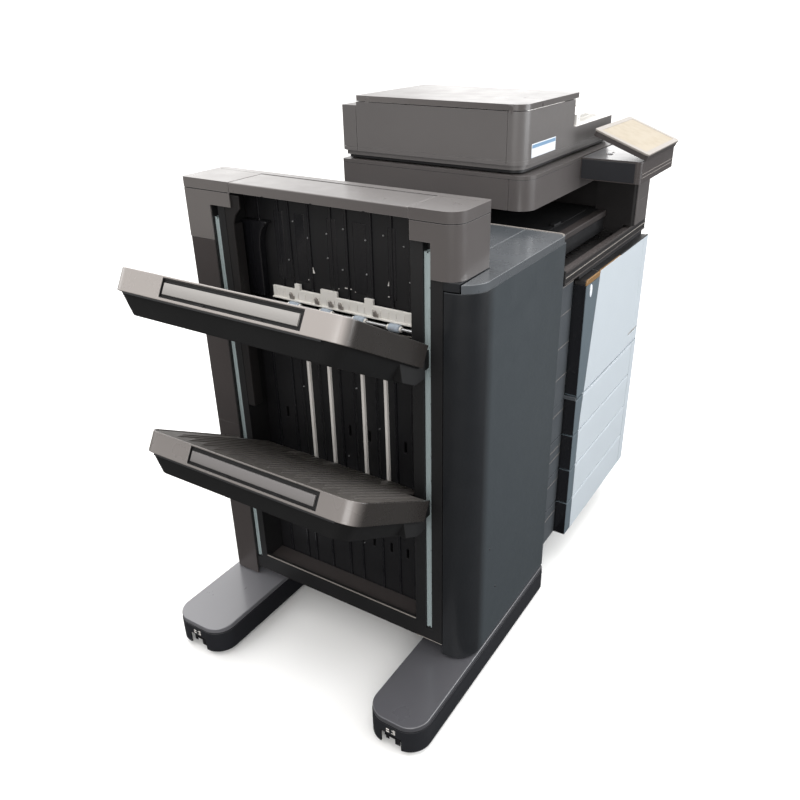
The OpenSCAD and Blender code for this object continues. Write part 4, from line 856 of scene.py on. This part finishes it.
def front_door():
    ((x0, x1), (y0, y1), (z0, z1)) = extent("front_door")
    z0 = 496
    pale, strip = front_skin(z0, z1, x1)
    r = 6
    pale[-2:] = arc(x1 - r, z1 - r, r, 90, 0, 6) + [(x1, z0)]
    hollow = [box((517, x1 - 3.5), (y0 + 3.5, 23), (z0 + 3.5, z1 - 4)), box((882, 962), (y0 - 1, y0 + 3), (526, 533)),
              box((512, 527), (-8.5, 23), (z0 - 1, 501.5)), box((950, 965), (-8.5, 23), (z0 - 1, 501.5))]
    cuts = hollow + [box((x1 - 36, x1 - 35), (y0 - 1, y0 + 0.6), (z0, z1)), box((930.5, 931.3), (y0 - 1, y0 + 0.6), (z0, 528))]
    piece("front_door_panel", "toner_door", PALE, [prism(pale, "y", (y0, 21))], cuts, bevel=1.6, segments=3,
          node="front_door")
    tall = [(513, z0)] + [(513, 776)] + [(pale_edge(776) - 0.6, 776)] + strip[-1:]
    piece("front_door_strip", "toner_door", STRIP, [prism(tall, "y", (y0 + 0.3, 21))], hollow, bevel=1.1)
    cap = [(513, 776.6), (513, z1 - 7), (516, z1 - 2), (521, z1)] + [(pale_edge(z1) - 0.6, z1), (pale_edge(776) - 0.6, 776.6)]
    piece("front_door_cap", "toner_door", BRONZE, [prism(cap, "y", (y0 + 0.1, y0 + 4))], bevel=1.2, segments=3)
    piece("front_door_cap_back", "toner_door", DARK_WARM, [prism(cap, "y", (y0 + 4.2, 20.6))], hollow, bevel=0.8)
    trim = [box((596, 742), (y0 + 0.5, y0 + 3.5), (z1 - 0.2, z1 + 1.4))]
    piece("front_door_trim", "toner_door", BRONZE, trim, bevel=0.5)
    edge = [box((742, 960), (y0 - 0.4, y0 + 4), (z1 - 0.2, z1 + 3.0)), box((600, 960), (y0 + 4.2, 20.4), (z1 - 0.1, z1 + 1.2))]
    piece("front_door_lip", "toner_door", BLACK, edge, bevel=0.6)
    badge = [prism(arc(0, 0, 1, 0, 360, 28)[:-1], "y", (y0 - 1.0, y0 + 1))]
    badge = [([(543 + v[0] * 7, v[1], 758 + v[2] * 15) for v in badge[0][0]], badge[0][1])]
    piece("front_door_badge", "toner_door", LABEL, badge, bevel=0.4)
    # Black faces in the gap left of the door: painted shade.
    side = [box((512.2, 513.6), (y0 + 1.6, 20.6), (504, z1 - 12))]
    side += [box((511.2, 513), (0, 8), (z, z + 5)) for z in (700, 640, 560)]
    piece("front_door_gap_shade", "toner_door", GLOSS_BLACK, side, bevel=0.5)
    liner = [box((519, 955), (9, 11.6), (508, 780))]
    liner += [box((x, x + 2.4), (y0 + 3.6, 10), (508, 780)) for x in range(560, 950, 64)]
    liner += [slab((600, 700), (11, 15), (560, 700), (1, 1, 1, 1)), box((760, 900), (11, 13), (600, 606))]
    piece("front_door_liner", "toner_door", CHARCOAL, liner, bevel=0.8)
    # Long curved pocket with a leaf latch
    latch = [slab((886, 958), (y0 + 1.4, y0 + 3.2), (527, 532)), box((915, 934), (y0 + 0.4, y0 + 2.2), (528, 531))]
    piece("front_door_latch", "toner_door", BEZEL, latch, bevel=0.4)
    knuckles = [hoop("x", (-5, 496.5), span, 3.4, 2.05, 24) for span in ((514, 525.6), (951.6, 963))]
    piece("front_door_knuckles", "toner_door", CHARCOAL, knuckles, bevel=0.2)


def main_sides():
    keep("main_left_cover", COLUMN, 1.2)
    # Light lines across the left cover: painted highlights.
    lines = [box((408, 511), (21.6, 22.5), (z, z + 0.7)) for z in (560, 640, 720)]
    lines += [box((407.6, 510), (21.4, 23), (786, 787.2))]
    piece("main_left_highlight_lines", MACHINE, BEZEL, lines, bevel=0.1)
    # Black plate in the gap left of the front door: painted shade.
    well = [box((511.4, 513.8), (22.2, 60), (494, 788))]
    piece("main_left_gap_shade", MACHINE, BLACK, well, bevel=0.6)
    keep("main_right_cover", PALE, 1.0)
    lines = [box((967.6, 968.5), (70, 600), (z, z + 1.2)) for z in (292, 490)]
    lines += [box((967.6, 968.5), (474.5, 476), (300, 790))]
    piece("main_right_seams", MACHINE, COLUMN, lines, bevel=0.2)
    slots = [box((967.4, 968.6), (500 + 12 * k, 506 + 12 * k), z) for k in range(8) for z in ((140, 190), (700, 760))]
    slots += [slab((966.6, 968.6), (230, 330), (170, 205), (0, 0, 0, 0))]
    piece("main_right_slots", MACHINE, BLACK, slots, bevel=0.4)
    heads = [screw("x", (y, z), 968, 1, 3.6) for y in (60, 610) for z in (120, 480, 780)]
    piece("main_right_screws", MACHINE, BRIGHT, sum(heads, []), bevel=0)
    keep("main_rear_cover", COLUMN, 1.0)
    back = extent("main_rear_cover")[1][1]
    lines = [box((409, 966), (back - 0.4, back + 0.5), (z, z + 1.4)) for z in (290, 560, 820)]
    lines += [box((686, 687.4), (back - 0.4, back + 0.5), (96, 820))]
    piece("main_back_seams", MACHINE, BLACK, lines, bevel=0.2)
    heads = [screw("y", (x, z), back, 1, 4.2) for x in (424, 672, 700, 952) for z in (120, 270, 310, 540, 580, 790)]
    heads += [screw("y", (x, 920), back, 1, 4.2) for x in (424, 664, 904)]
    piece("main_back_screws", MACHINE, BRIGHT, sum(heads, []), bevel=0)
    inlet = [box((866, 930), (back - 2, back + 4), (118, 170))]
    piece("main_back_inlet", MACHINE, BLACK, inlet, [box((874, 902), (back, back + 9), (126, 162)),
                                                   box((908, 924), (back + 2, back + 9), (130, 158))], bevel=1.0)
    piece("main_back_switch", MACHINE, GLOSS_BLACK, [prism([(back + 1, 132), (back + 5, 134), (back + 3.4, 145),
          (back + 5.4, 156), (back + 1, 156)], "x", (909, 923))], bevel=0.5)
    ports = [box((440 + 30 * k, 458 + 30 * k), (back - 1, back + 2.5), (700, 712)) for k in range(4)]
    ports += [box((436, 560), (back - 1, back + 1), (694, 718))]
    piece("main_back_ports", MACHINE, BLACK, ports, bevel=0.6)
    grip = [slab((470, 620), (back - 1, back + 3), (376, 420), (2, 2, 2, 2))]
    piece("main_back_grip", MACHINE, CHARCOAL, grip, [box((480, 610), (back + 0.5, back + 9), (384, 404))], bevel=1.6)


def output_bay():
    keep("output_deck", DARK_WARM, 1.4)
    ((x0, x1), (y0, y1), (z0, top)) = extent("output_deck")
    z1 = 822
    sill = [prism([(3.8, top - 5), (3.8, top - 0.5), (6, top + 0.8), (18, top + 0.8), (19.4, top - 1), (19.4, top - 5)],
                  "x", (x0 + 8, x1 - 4))]
    piece("deck_sill_top", MACHINE, BROWN, sill, bevel=0.5)
    for part, z, tint in (("light", 820, BEZEL), ("groove", 822.4, BLACK), ("low", 806, BROWN)):
        piece("deck_sill_" + part, MACHINE, tint, [box((x0 + 6, x1 - 4), (3.0, 4.6), (z, z + 2.2))], bevel=0.3)
    under = [box((512, 962), (9.6, 19), (790.6, 799.6))]
    piece("deck_reveal", MACHINE, BLACK, under, bevel=0.5)
    ribs = [prism([(60, z1 - 11.9), (72, z1 - 9.4), (500, z1 - 9.4), (512, z1 - 11.9)], "x", (c, c + 3))
            for c in range(452, 800, 34)]
    piece("deck_ribs", MACHINE, BLACK, ribs, bevel=0.3)
    keep("bridge_unit", BLACK, 1.4)
    ledge = [prism([(66, 860), (64.5, 862), (64.5, 873), (66, 875), (86, 875), (86, 874), (70, 872), (70, 860)], "x", (416, 818))]
    piece("bridge_ledge", MACHINE, UMBER, ledge, bevel=0.7)
    lid = [slab((430, 800), (110, 470), (874, 875.4), (8, 8, 8, 8)), box((600, 640), (112, 124), (875, 880))]
    piece("bridge_lid", MACHINE, BLACK, lid, bevel=0.8)
    keep("right_column", DARK_WARM, 1.6)
    ((x0, x1), (y0, y1), (z0, z1)) = extent("right_column")
    face = [slab((x0 + 3, x1 - 1), (y0 - 0.8, y0 + 2), (844, 966), (2, 6, 0, 0)),
            box((x1 - 2, x1 + 0.9), (y0 + 8, 90), (844, 966))]
    piece("right_column_face", MACHINE, WARM_LOW, face, [box((x0, x1 + 2), (y0 - 2, y0 - 0.2), (902, 903))], bevel=1.8, segments=3)


def scanner():
    ((x0, x1), (y0, y1), (z0, z1)) = extent("scanner_housing")
    y1, z1 = 570, 1021
    shell = [slab((x0, x1), (y0, y1), (z0, z1), (38, 12, 6, 6), 14)]
    hollow = [slab((x0 + 3, x1 - 3), (y0 + 3, y1 - 3), (z0 + 3, z1 - 5), (35, 9, 3, 3), 14),
              box((440, 930), (150, 530), (z1 - 4, z1 + 1)), box((446, 924), (156, 524), (z1 - 6, z1 + 1))]
    seams = [box((x0 - 1, x0 + 1.8), (140.8, 143), (z0 - 1, z1 - 7)),
             ring(outline((x0 - 1, x1 + 1), (y0 - 1, y1 + 1), (39, 13, 7, 7), 14),
                  outline((x0 + 0.8, x1 - 0.8), (y0 + 0.8, y1 - 0.8), (37.2, 11.2, 5.2, 5.2), 14), "z", (z1 - 8.6, z1 - 7.4))]
    piece("scanner_shell", MACHINE, WARM_LOW, shell, hollow + seams, bevel=4.2, segments=5, node="scanner_housing")
    gasket("scanner_gasket", MACHINE, (x0, x1), (y0, y1), (38, 12, 6, 6), (z1 - 8.8, z1 - 7.2), 0.5)
    frame_out = outline((436, 934), (146, 534), (8, 8, 8, 8), 6)
    frame_in = outline((441, 929), (151, 529), (3, 3, 3, 3), 6)
    piece("scanner_bezel", MACHINE, BEZEL, [ring(frame_out, frame_in, "z", (1019, 1021.8))], bevel=0.5)
    posts = []
    for x in (480, 840):
        posts += [box((x, x + 40), (y1 - 1, 593), (989, 1034)), drum("x", (583, 1034), (x, x + 40), 8, 0.8, 32),
                  drum("x", (583, 1034), (x - 10, x + 50), 4, 0.5, 24)]
    piece("scanner_posts", MACHINE, BLACK, posts, bevel=0.6)
    piece("scanner_rail", MACHINE, BRIGHT, [drum("x", (330, 975), (409, 964), 4, 0.5, 24)], bevel=0)
    keep("platen_glass", GLASS, 0.3)
    keep("scan_carriage", BLACK, 0.8)
    lamp = [box((447, 455), (137, 523), (1005.4, 1007.6))]
    piece("scan_lamp", "carriage", LABEL, lamp, bevel=0.6)


def feeder():
    ((x0, x1), (y0, y1), (z0, z1)) = extent("feeder_base")
    y1 -= 27  # the hinge ears reach past the shell
    body = "feeder"
    low, head = 1085, 1145.5
    shell = [slab((x0, x1), (y0, y1), (1040, low), (34, 20, 6, 6), 14),
             slab((x0, 684), (y0, 527), (1041, head), (34, 0, 0, 0), 14), box((x0, 706), (526, y1), (1041, 1138))]
    hollow = [slab((414, 680), (119, 523), (1060, 1150), (30, 0, 0, 0), 12), box((414, 702), (529, y1 - 4), (1060, 1134)),
              box((679, 686), (140, 505), (1096, 1150)), slab((700, 954), (119, y1 - 4), (1076, 1092), (0, 16, 2, 0)),
              box((679, 701), (140, 505), (1076, 1092))]
    seams = [box((x0 - 1, x0 + 1.8), (150.4, 152.6), (1042, head + 1)), box((x0 - 1, x0 + 1.8), (526.2, 528.4), (1042, head + 1)),
             ring(outline((x0 - 1, x1 + 1), (y0 - 1, y1 + 1), (35, 21, 7, 7), 14),
                  outline((x0 + 0.8, x1 - 0.8), (y0 + 0.8, y1 - 0.8), (33.2, 19.2, 5.2, 5.2), 14), "z", (1047.6, 1048.8))]
    piece("feeder_shell", body, WARM, shell, hollow + seams, bevel=1.9, segments=3, node="feeder_base")
    lip = [prism(outline((x0 + 4, x1 - 4), (y0 + 4, y1 - 4), (30, 16, 4, 4), 12), "z", (1030.5, 1041))]
    piece("feeder_lip", body, WARM, lip, [slab((x0 + 8, x1 - 8), (y0 + 8, y1 - 8), (1029, 1039.6), (26, 12, 2, 2), 12),
          box((468, 562), (560, 570), (1029, 1042)), box((828, 892), (560, 570), (1029, 1042))], bevel=2.0, segments=3)
    under = [slab((419, 950), (123, 557), (1023.4, 1040), (28, 14, 4, 4), 12)]
    piece("feeder_under", body, BLACK, under, [box((436, 934), (146, 534), (1022, 1026))], bevel=1.2)
    piece("feeder_mat", body, LABEL, [slab((440, 930), (150, 530), (1023.6, 1026.6), (6, 6, 6, 6))], bevel=0.8)
    ears = []
    for x in (469.5, 521.5, 829.5, 881.5):
        ears += [hoop("x", (583, 1034), (x, x + 9), 9, 4.05, 32), box((x, x + 9), (556, 577.5), (1029, 1047))]
    piece("feeder_ears", body, BLACK, ears, bevel=0.5)
    inner = [box((606, 634), y, (1056, 1132)) for y in ((118, 128), (514, 524))]
    inner += [prism([(640, 1062), (700, 1080), (700, 1083), (640, 1070)], "y", (142, 503))]
    inner += [prism([(432, 1064), (600, 1064), (604, 1098), (590, 1112), (470, 1118), (436, 1100)], "y", (150, 498))]
    bores = [drum("y", (620, 1120), (116, 130), 3.05, 0.1, 24), drum("y", (620, 1120), (512, 526), 3.05, 0.1, 24)]
    piece("feeder_chassis", body, CHARCOAL, inner, bores, bevel=0.8)
    knobs = [hoop("y", (414, 1154.5), y, 3, 1.45, 16) for y in ((142, 149), (493, 500))]
    knobs += [drum("y", (414, 1154.5), y, 1.45, 0.1, 16) for y in ((143, 160), (482, 499))]
    knobs += [prism([(410.2, 1140), (417, 1140), (417, 1156), (415, 1158.4), (412, 1158.4), (410.2, 1156)], "y", y)
              for y in ((141.6, 149.4), (492.6, 500.4))]
    piece("feeder_lid_pins", body, WARM_TOP, knobs, bevel=0.4)
    band = [prism(outline((455, 577), (1070, 1077), (1, 1, 1, 1), 3), "y", (y0 - 0.7, y0 + 0.2))]
    piece("feeder_label_band", body, BLUE_BAND, band, bevel=0.1)
    tag = [prism(outline((453, 579), (1051, 1079), (1.5, 1.5, 1.5, 1.5), 4), "y", (y0 - 0.5, y0 + 0.4))]
    piece("feeder_label", body, LABEL, tag, bevel=0.15)
    # Area that catches the ejected originals
    well = [slab((702, 956), (y0 + 1.8, y1 - 1.8), (1082, 1086), (1, 18, 5, 1))]
    well += [box((715, 940), (y, y + 3), (1085.6, 1087.2)) for y in range(160, 520, 40)]
    piece("feeder_exit_bed", body, WHITE_PAINTED_HIGHLIGHT, well, bevel=0.5)
    mounts = [box((706, 726), y, (1085, 1110)) for y in ((118, 128), (522, 532))]
    piece("originals_mounts", body, WHITE_PAINTED_HIGHLIGHT, mounts, [drum("y", (716, 1100), (116, 130), 3.05, 0.1, 24),
                                                    drum("y", (716, 1100), (520, 534), 3.05, 0.1, 24)], bevel=0.8)
    ((x0, x1), (y0, y1), (z0, z1)) = extent("feeder_top_cover")
    lid = [slab((x0, x1), (y0, y1), (head + 1.6, z1), (34, 6, 4, 4), 14)]
    cut = [slab((x0 + 4, x1 - 4), (y0 + 4, y1 - 4), (head, z1 - 3), (30, 3, 2, 2), 14)]
    cut += [box((x0 - 1, 419), y, (1140, z1 - 1)) for y in ((141, 150), (492, 501))]
    cut += [box((530, 531.2), (y0 - 1, y0 + 60), (z1 - 0.8, z1 + 1)), box((530, 560), (y0 + 59, y0 + 60.2), (z1 - 0.8, z1 + 1))]
    piece("feeder_lid_shell", "feeder_lid", WARM_TOP, lid, cut, bevel=2.0, segments=4, node="feeder_top_cover",
          crown=z1)
    under = [box((x, x + 2.4), (y0 + 4, y1 - 4), (1149, z1 - 2.6)) for x in range(450, 700, 40)]
    under += [hoop("y", (414, 1154.5), (150.5, 491.5), 3.5, 1.55, 20)]
    piece("feeder_lid_ribs", "feeder_lid", BLACK, under, bevel=0.3)


def originals_tray():
    place = Matrix.Translation((716, 0, 1100)) @ Matrix.Rotation(math.radians(-5), 4, "Y")
    bed = [slab((-4, 236), (131, 519), (-1, 3), (0, 14, 14, 0))]
    lines = [box((20, 150), (y, y + 1.2), (2.4, 4)) for y in (180, 250, 400, 470)]
    lines += [box((40, 41.2), (180, 470), (2.4, 4))]
    piece("originals_bed", "originals_tray", WHITE_PAINTED_HIGHLIGHT, [moved(s, place) for s in bed],
          [moved(prism(outline((200, 245), (290, 360), (12, 0, 0, 12)), "z", (-3, 5)), place)] + [moved(s, place) for s in lines],
          bevel=1.0, node="document_tray")
    walls = [box((40, 236), y, (3, 8)) for y in ((131, 135), (515, 519))]
    walls += [box((x, x + 3), (135, 515), (-3, -0.6)) for x in (30, 80, 130, 180)]
    piece("originals_walls", "originals_tray", WHITE_PAINTED_HIGHLIGHT, [moved(s, place) for s in walls], bevel=0.7)
    piece("originals_rod", "originals_tray", BRIGHT, [drum("y", (716, 1100), (121, 529), 3, 0.4, 24)], bevel=0)
    for name, node, body, fence, base in (("front", "guide_front", "guide_f", (172, 176), (172, 206)),
                                         ("rear", "guide_rear", "guide_r", (474, 478), (444, 478))):
        tall = prism([(30, 3.4), (160, 3.4), (160, 12), (150, 22), (138, 26), (52, 26), (38, 20), (30, 10)], "y", fence)
        foot = [tall, slab((60, 130), base, (3.4, 6), (6, 6, 6, 6))]
        foot += [box((70 + 9 * k, 73 + 9 * k), (base[0] + 6, base[1] - 6), (5.8, 7)) for k in range(6)]
        piece("paper_guide_" + name, body, WHITE_PAINTED_HIGHLIGHT, [moved(s, place) for s in foot], bevel=0.8, node=node)
    shaft = [drum("y", (620, 1120), (121, 521), 3, 0.4, 24)]
    piece("pick_roller_shaft", "pick_roller", BRIGHT, shaft, bevel=0, node="feed_roller")
    tyres, hubs = [], []
    for y in (262, 350):
        tyres.append(lathe([(y, 11.8), (y + 1.5, 13), (y + 32.5, 13), (y + 34, 11.8)], "y", (620, 1120), 40))
        hubs += [hoop("y", (620, 1120), (y - 5, y + 0.6), 8, 3.02, 24), hoop("y", (620, 1120), (y + 33.4, y + 39), 8, 3.02, 24)]
    piece("pick_roller_tyres", "pick_roller", ROLLER, tyres, bevel=0)
    piece("pick_roller_hubs", "pick_roller", CREAM, hubs, bevel=0.4)


def operator_panel():
    ((x0, x1), (y0, y1), (z0, z1)) = extent("control_panel")
    top = 1019
    shell = [slab((x0, x1), (y0, 94.5), (z0, top), (12, 12, 0, 0), 10)]
    hollow = [slab((x0 + 3, x1 - 3), (y0 + 3, 91.5), (z0 + 3, top - 3), (9, 9, 0, 0), 10),
              drum("z", (764, 52), (1014, 1022), 6.05, 0.05, 32), box((835, 905), (0, 60), (z0 - 1, z0 + 4))]
    lines = [ring(outline((x0 - 1, x1 + 1), (y0 - 1, 95.5), (13, 13, 0, 0), 10),
                  outline((x0 + 0.8, x1 - 0.8), (y0 + 0.8, 93.7), (11.2, 11.2, 0, 0), 10), "z", (z, z + 1.0)) for z in (982, 990)]
    piece("panel_box", MACHINE, BROWN, shell, hollow + lines, bevel=2.0, segments=4, node="control_panel")
    side = [box((x0 - 0.7, x0 + 1), (y0 + 14, 93), (z0 + 2, top - 3))]
    piece("panel_side", MACHINE, CHARCOAL, side, bevel=0.7)
    # Two light lines in the panel box front grooves: painted highlights.
    glints = [box((x0 + 12, x1 - 12), (y0 - 0.5, y0 + 0.8), (z, z + 1.0)) for z in (982, 990)]
    piece("panel_highlight_lines", MACHINE, BEZEL, glints, bevel=0.2)
    deck = [slab((x0 + 3, x1 - 3), (y0 + 3, 92), (top - 0.6, top + 0.5), (10, 10, 2, 2), 8)]
    piece("panel_deck", MACHINE, FOOT_TOP, deck, [drum("z", (764, 52), (1010, 1024), 9, 0.05, 32),
          box((745, 767), (-48, -34), (1010, 1024)), box((883, 905), (-48, -34), (1010, 1024))], bevel=0.4)
    posts = []
    for x in ((752, 760), (890, 898)):
        posts += [box(x, (-43, -36), (1018, 1024)), drum("x", (-44, 1024), x, 4, 0.5, 24)]
    posts += [drum("x", (-44, 1024), x, 2, 0.3, 20) for x in ((744, 759), (891, 906))]
    piece("panel_hinge", MACHINE, BLACK, posts, bevel=0.4)
    key_cap = lathe([(1013, 8), (1015.5, 8), (1015.6, 6), (1020.6, 6), (1021.3, 5.4), (1021.3, 4.4), (1021.0, 4.0)], "z", (764, 52), 40)
    piece("power_key", "button", LABEL, [key_cap], bevel=0, node="power_button")
    piece("power_key_ring", MACHINE, BEZEL, [hoop("z", (764, 52), (1018.6, 1019.9), 9.2, 6.3, 40)], bevel=0.3)
    lamp = [slab((786, 794), (49, 55), (1019.2, 1020.0), (3, 3, 3, 3))]
    piece("status_lamp", MACHINE, BONE, lamp, bevel=0.2)
    place = Matrix.Translation((0, -60, 1036)) @ Matrix.Rotation(math.radians(20.3), 4, "X")
    x0, x1 = 700, 950
    back = [slab((x0 + 1, x1 - 1), (1, 137.6), (-15.8, -5.2), (8, 8, 8, 8), 8)]
    wells = [moved(box((x0 + 12, x1 - 12), (40, 120), (-17, -12)), place),
             box((751, 761), (-54, -30), (1008, 1028.5)), box((889, 899), (-54, -30), (1008, 1028.5))]
    piece("screen_back", "screen", BROWN, [moved(s, place) for s in back], wells, bevel=1.8, segments=3,
          node="touch_screen")
    rim = ring(outline((x0, x1), (0, 138.6), (8, 8, 8, 8), 8), outline((x0 + 16, x1 - 16), (12, 126), (3, 3, 3, 3), 8), "z", (-5, 0))
    piece("screen_rim", "screen", BEZEL, [moved(rim, place)], bevel=1.4, segments=3)
    film = slab((x0 + 15.5, x1 - 15.5), (11.5, 126.5), (-5, -0.9), (3, 3, 3, 3), 6)
    piece("screen_film", "screen", DISPLAY, [moved(film, place)], bevel=0.4)
    knuckles = [hoop("x", (-44, 1024), x, 4.5, 2.05, 24) for x in ((743, 751.5), (898.5, 907))]
    knuckles += [box(x, (-48, -40), (1024, 1032)) for x in ((743.5, 751), (899, 906.5))]
    piece("screen_knuckles", "screen", BLACK, knuckles, [drum("x", (-44, 1024), (742, 752), 2.05, 0.01, 20),
                                                       drum("x", (-44, 1024), (898, 908), 2.05, 0.01, 20)], bevel=0.3)


def right_side():
    keep("side_door", PALE, 0.8)
    lines = [box((967.5, 968.4), (78, 468), (z, z + 1.0)) for z in (510, 786)]
    lines += [slab((967.4, 968.6), (150, 230), (735, 752), (0, 0, 0, 0))]
    piece("side_door_lines", "right_door", COLUMN, lines, bevel=0.2)
    keep("bypass_tray", PALE, 0.8)
    pull = [slab((967.2, 968.4), (230, 320), (668, 690), (0, 0, 0, 0)), box((967.2, 968.0), (130, 420), (560, 561))]
    piece("bypass_pull", "bypass", COLUMN, pull, bevel=0.4)


main_drawers()
front_door()
main_sides()
output_bay()
scanner()
feeder()
originals_tray()
operator_panel()
right_side()
keep("main_frame", FRAME_STEEL, 0.5)
for node, material in (("toner_cartridges", CHARCOAL), ("imaging_units", BLACK), ("transfer_belt", GLOSS_BLACK),
                       ("fuser", CREAM), ("laser_unit", BLACK), ("power_supply", FRAME_STEEL)):
    keep(node, material, 0.6)


# ---------------------------------------------------------------- room and camera

floor = build("floor_plate", [box((-40000, 40000), (-40000, 40000), (-40, 0))])
floor.location.z = -0.0002
n = Nodes("studio_floor")
paint = n.mix(n.range(n.noise(1.4, 3.0), 0.0, 0.3), linear("fbfbfa"), linear("f6f6f5"))
# The paint looks pale, but bounces little light back under the machine
seen = n.add("ShaderNodeLightPath").outputs["Is Camera Ray"]
n.put(n.shader.inputs["Base Color"], n.mix(seen, linear("404040"), paint))
n.put(n.shader.inputs["Roughness"], n.range(n.noise(30.0, 2.0), 0.85, 0.95))
n.shader.inputs["Specular IOR Level"].default_value = 0.1
floor.data.materials.append(n.material)


def lamp(name, place, target, size, power, colour=(1, 1, 1)):
    data = bpy.data.lights.new(name, "AREA")
    data.shape, data.size, data.size_y = "RECTANGLE", size[0], size[1]
    data.energy, data.color = power, colour
    made = bpy.data.objects.new(name, data)
    made.location = at(*place)
    made.rotation_euler = (at(*target) - at(*place)).to_track_quat("-Z", "Y").to_euler()
    bpy.context.scene.collection.objects.link(made)


def studio_world():
    """Bright ceiling and far wall, dimmer on the camera's side."""
    world = bpy.data.worlds.new("studio")
    world.use_nodes = True
    tree = world.node_tree
    sky = tree.nodes["Background"]

    def add(kind, **values):
        made = tree.nodes.new(kind)
        for key, value in values.items():
            setattr(made, key, value)
        return made

    def ramp(value, a, b, low, high):
        made = add("ShaderNodeMapRange", interpolation_type="SMOOTHSTEP")
        tree.links.new(value, made.inputs["Value"])
        for key, number in (("From Min", a), ("From Max", b), ("To Min", low), ("To Max", high)):
            made.inputs[key].default_value = number
        return made.outputs["Result"]

    def combine(operation, a, b):
        made = add("ShaderNodeMath", operation=operation)
        tree.links.new(a, made.inputs[0])
        tree.links.new(b, made.inputs[1])
        return made.outputs[0]

    def towards(direction):
        made = add("ShaderNodeVectorMath", operation="DOT_PRODUCT")
        tree.links.new(place, made.inputs[0])
        made.inputs[1].default_value = direction
        return made.outputs["Value"]

    place = add("ShaderNodeTexCoord").outputs["Generated"]
    height = towards((0, 0, 1))
    ceiling = ramp(height, 0.35, 0.8, 0.0, CEILING)
    far = combine("MULTIPLY", ramp(towards((0.80, 0.60, 0)), 0.1, 0.7, 0.0, FAR_WALL), ramp(height, 0.10, 0.42, 1.0, 0.25))
    far = combine("MULTIPLY", far, ramp(towards((0.795, 0.595, 0.12)), 0.990, 0.9985, 1.0, 0.3))
    near = ramp(towards((0.35, -0.94, 0)), -0.2, 0.9, NEAR_LEFT, NEAR_RIGHT)
    total = combine("ADD", combine("ADD", ceiling, far), near)
    tree.links.new(total, sky.inputs["Strength"])
    sky.inputs["Color"].default_value = (1.0, 0.992, 0.985, 1.0)
    bpy.context.scene.world = world


CEILING, FAR_WALL, NEAR_LEFT, NEAR_RIGHT = 1.15, 1.4, 0.72, 0.45
studio_world()
lamp("front_light", (1500, -2600, 1500), (300, 300, 450), (2.4, 1.8), 82, (0.96, 0.98, 1.0))
lamp("fill_light", (-2600, -1100, 1500), (150, 300, 650), (1.8, 1.4), 34, (1.0, 0.985, 0.97))
lamp("ceiling_light", (300, 300, 3600), (300, 300, 0), (3.0, 3.0), 60)
bpy.context.scene.view_settings.view_transform = "Standard"


def aim_camera():
    yaw, pitch, roll = math.radians(31.31), math.radians(26.95), math.radians(-0.38)
    ahead = Vector((math.cos(yaw) * math.cos(pitch), math.sin(yaw) * math.cos(pitch), -math.sin(pitch)))
    right = Vector((math.sin(yaw), -math.cos(yaw), 0.0))
    up = right.cross(ahead)
    right, up = right * math.cos(roll) + up * math.sin(roll), up * math.cos(roll) - right * math.sin(roll)
    data = bpy.data.cameras.new("studio_camera")
    data.sensor_width, data.lens = 36.0, 34.83
    data.shift_x, data.shift_y = -0.0346, -0.00125
    data.clip_start, data.clip_end = 0.05, 60.0
    camera = bpy.data.objects.new("studio_camera", data)
    camera.matrix_world = Matrix.Translation(at(-1077.9, -560.7, 1335.4)) @ Matrix((right, up, -ahead)).transposed().to_4x4()
    bpy.context.scene.collection.objects.link(camera)
    bpy.context.scene.camera = camera


aim_camera()
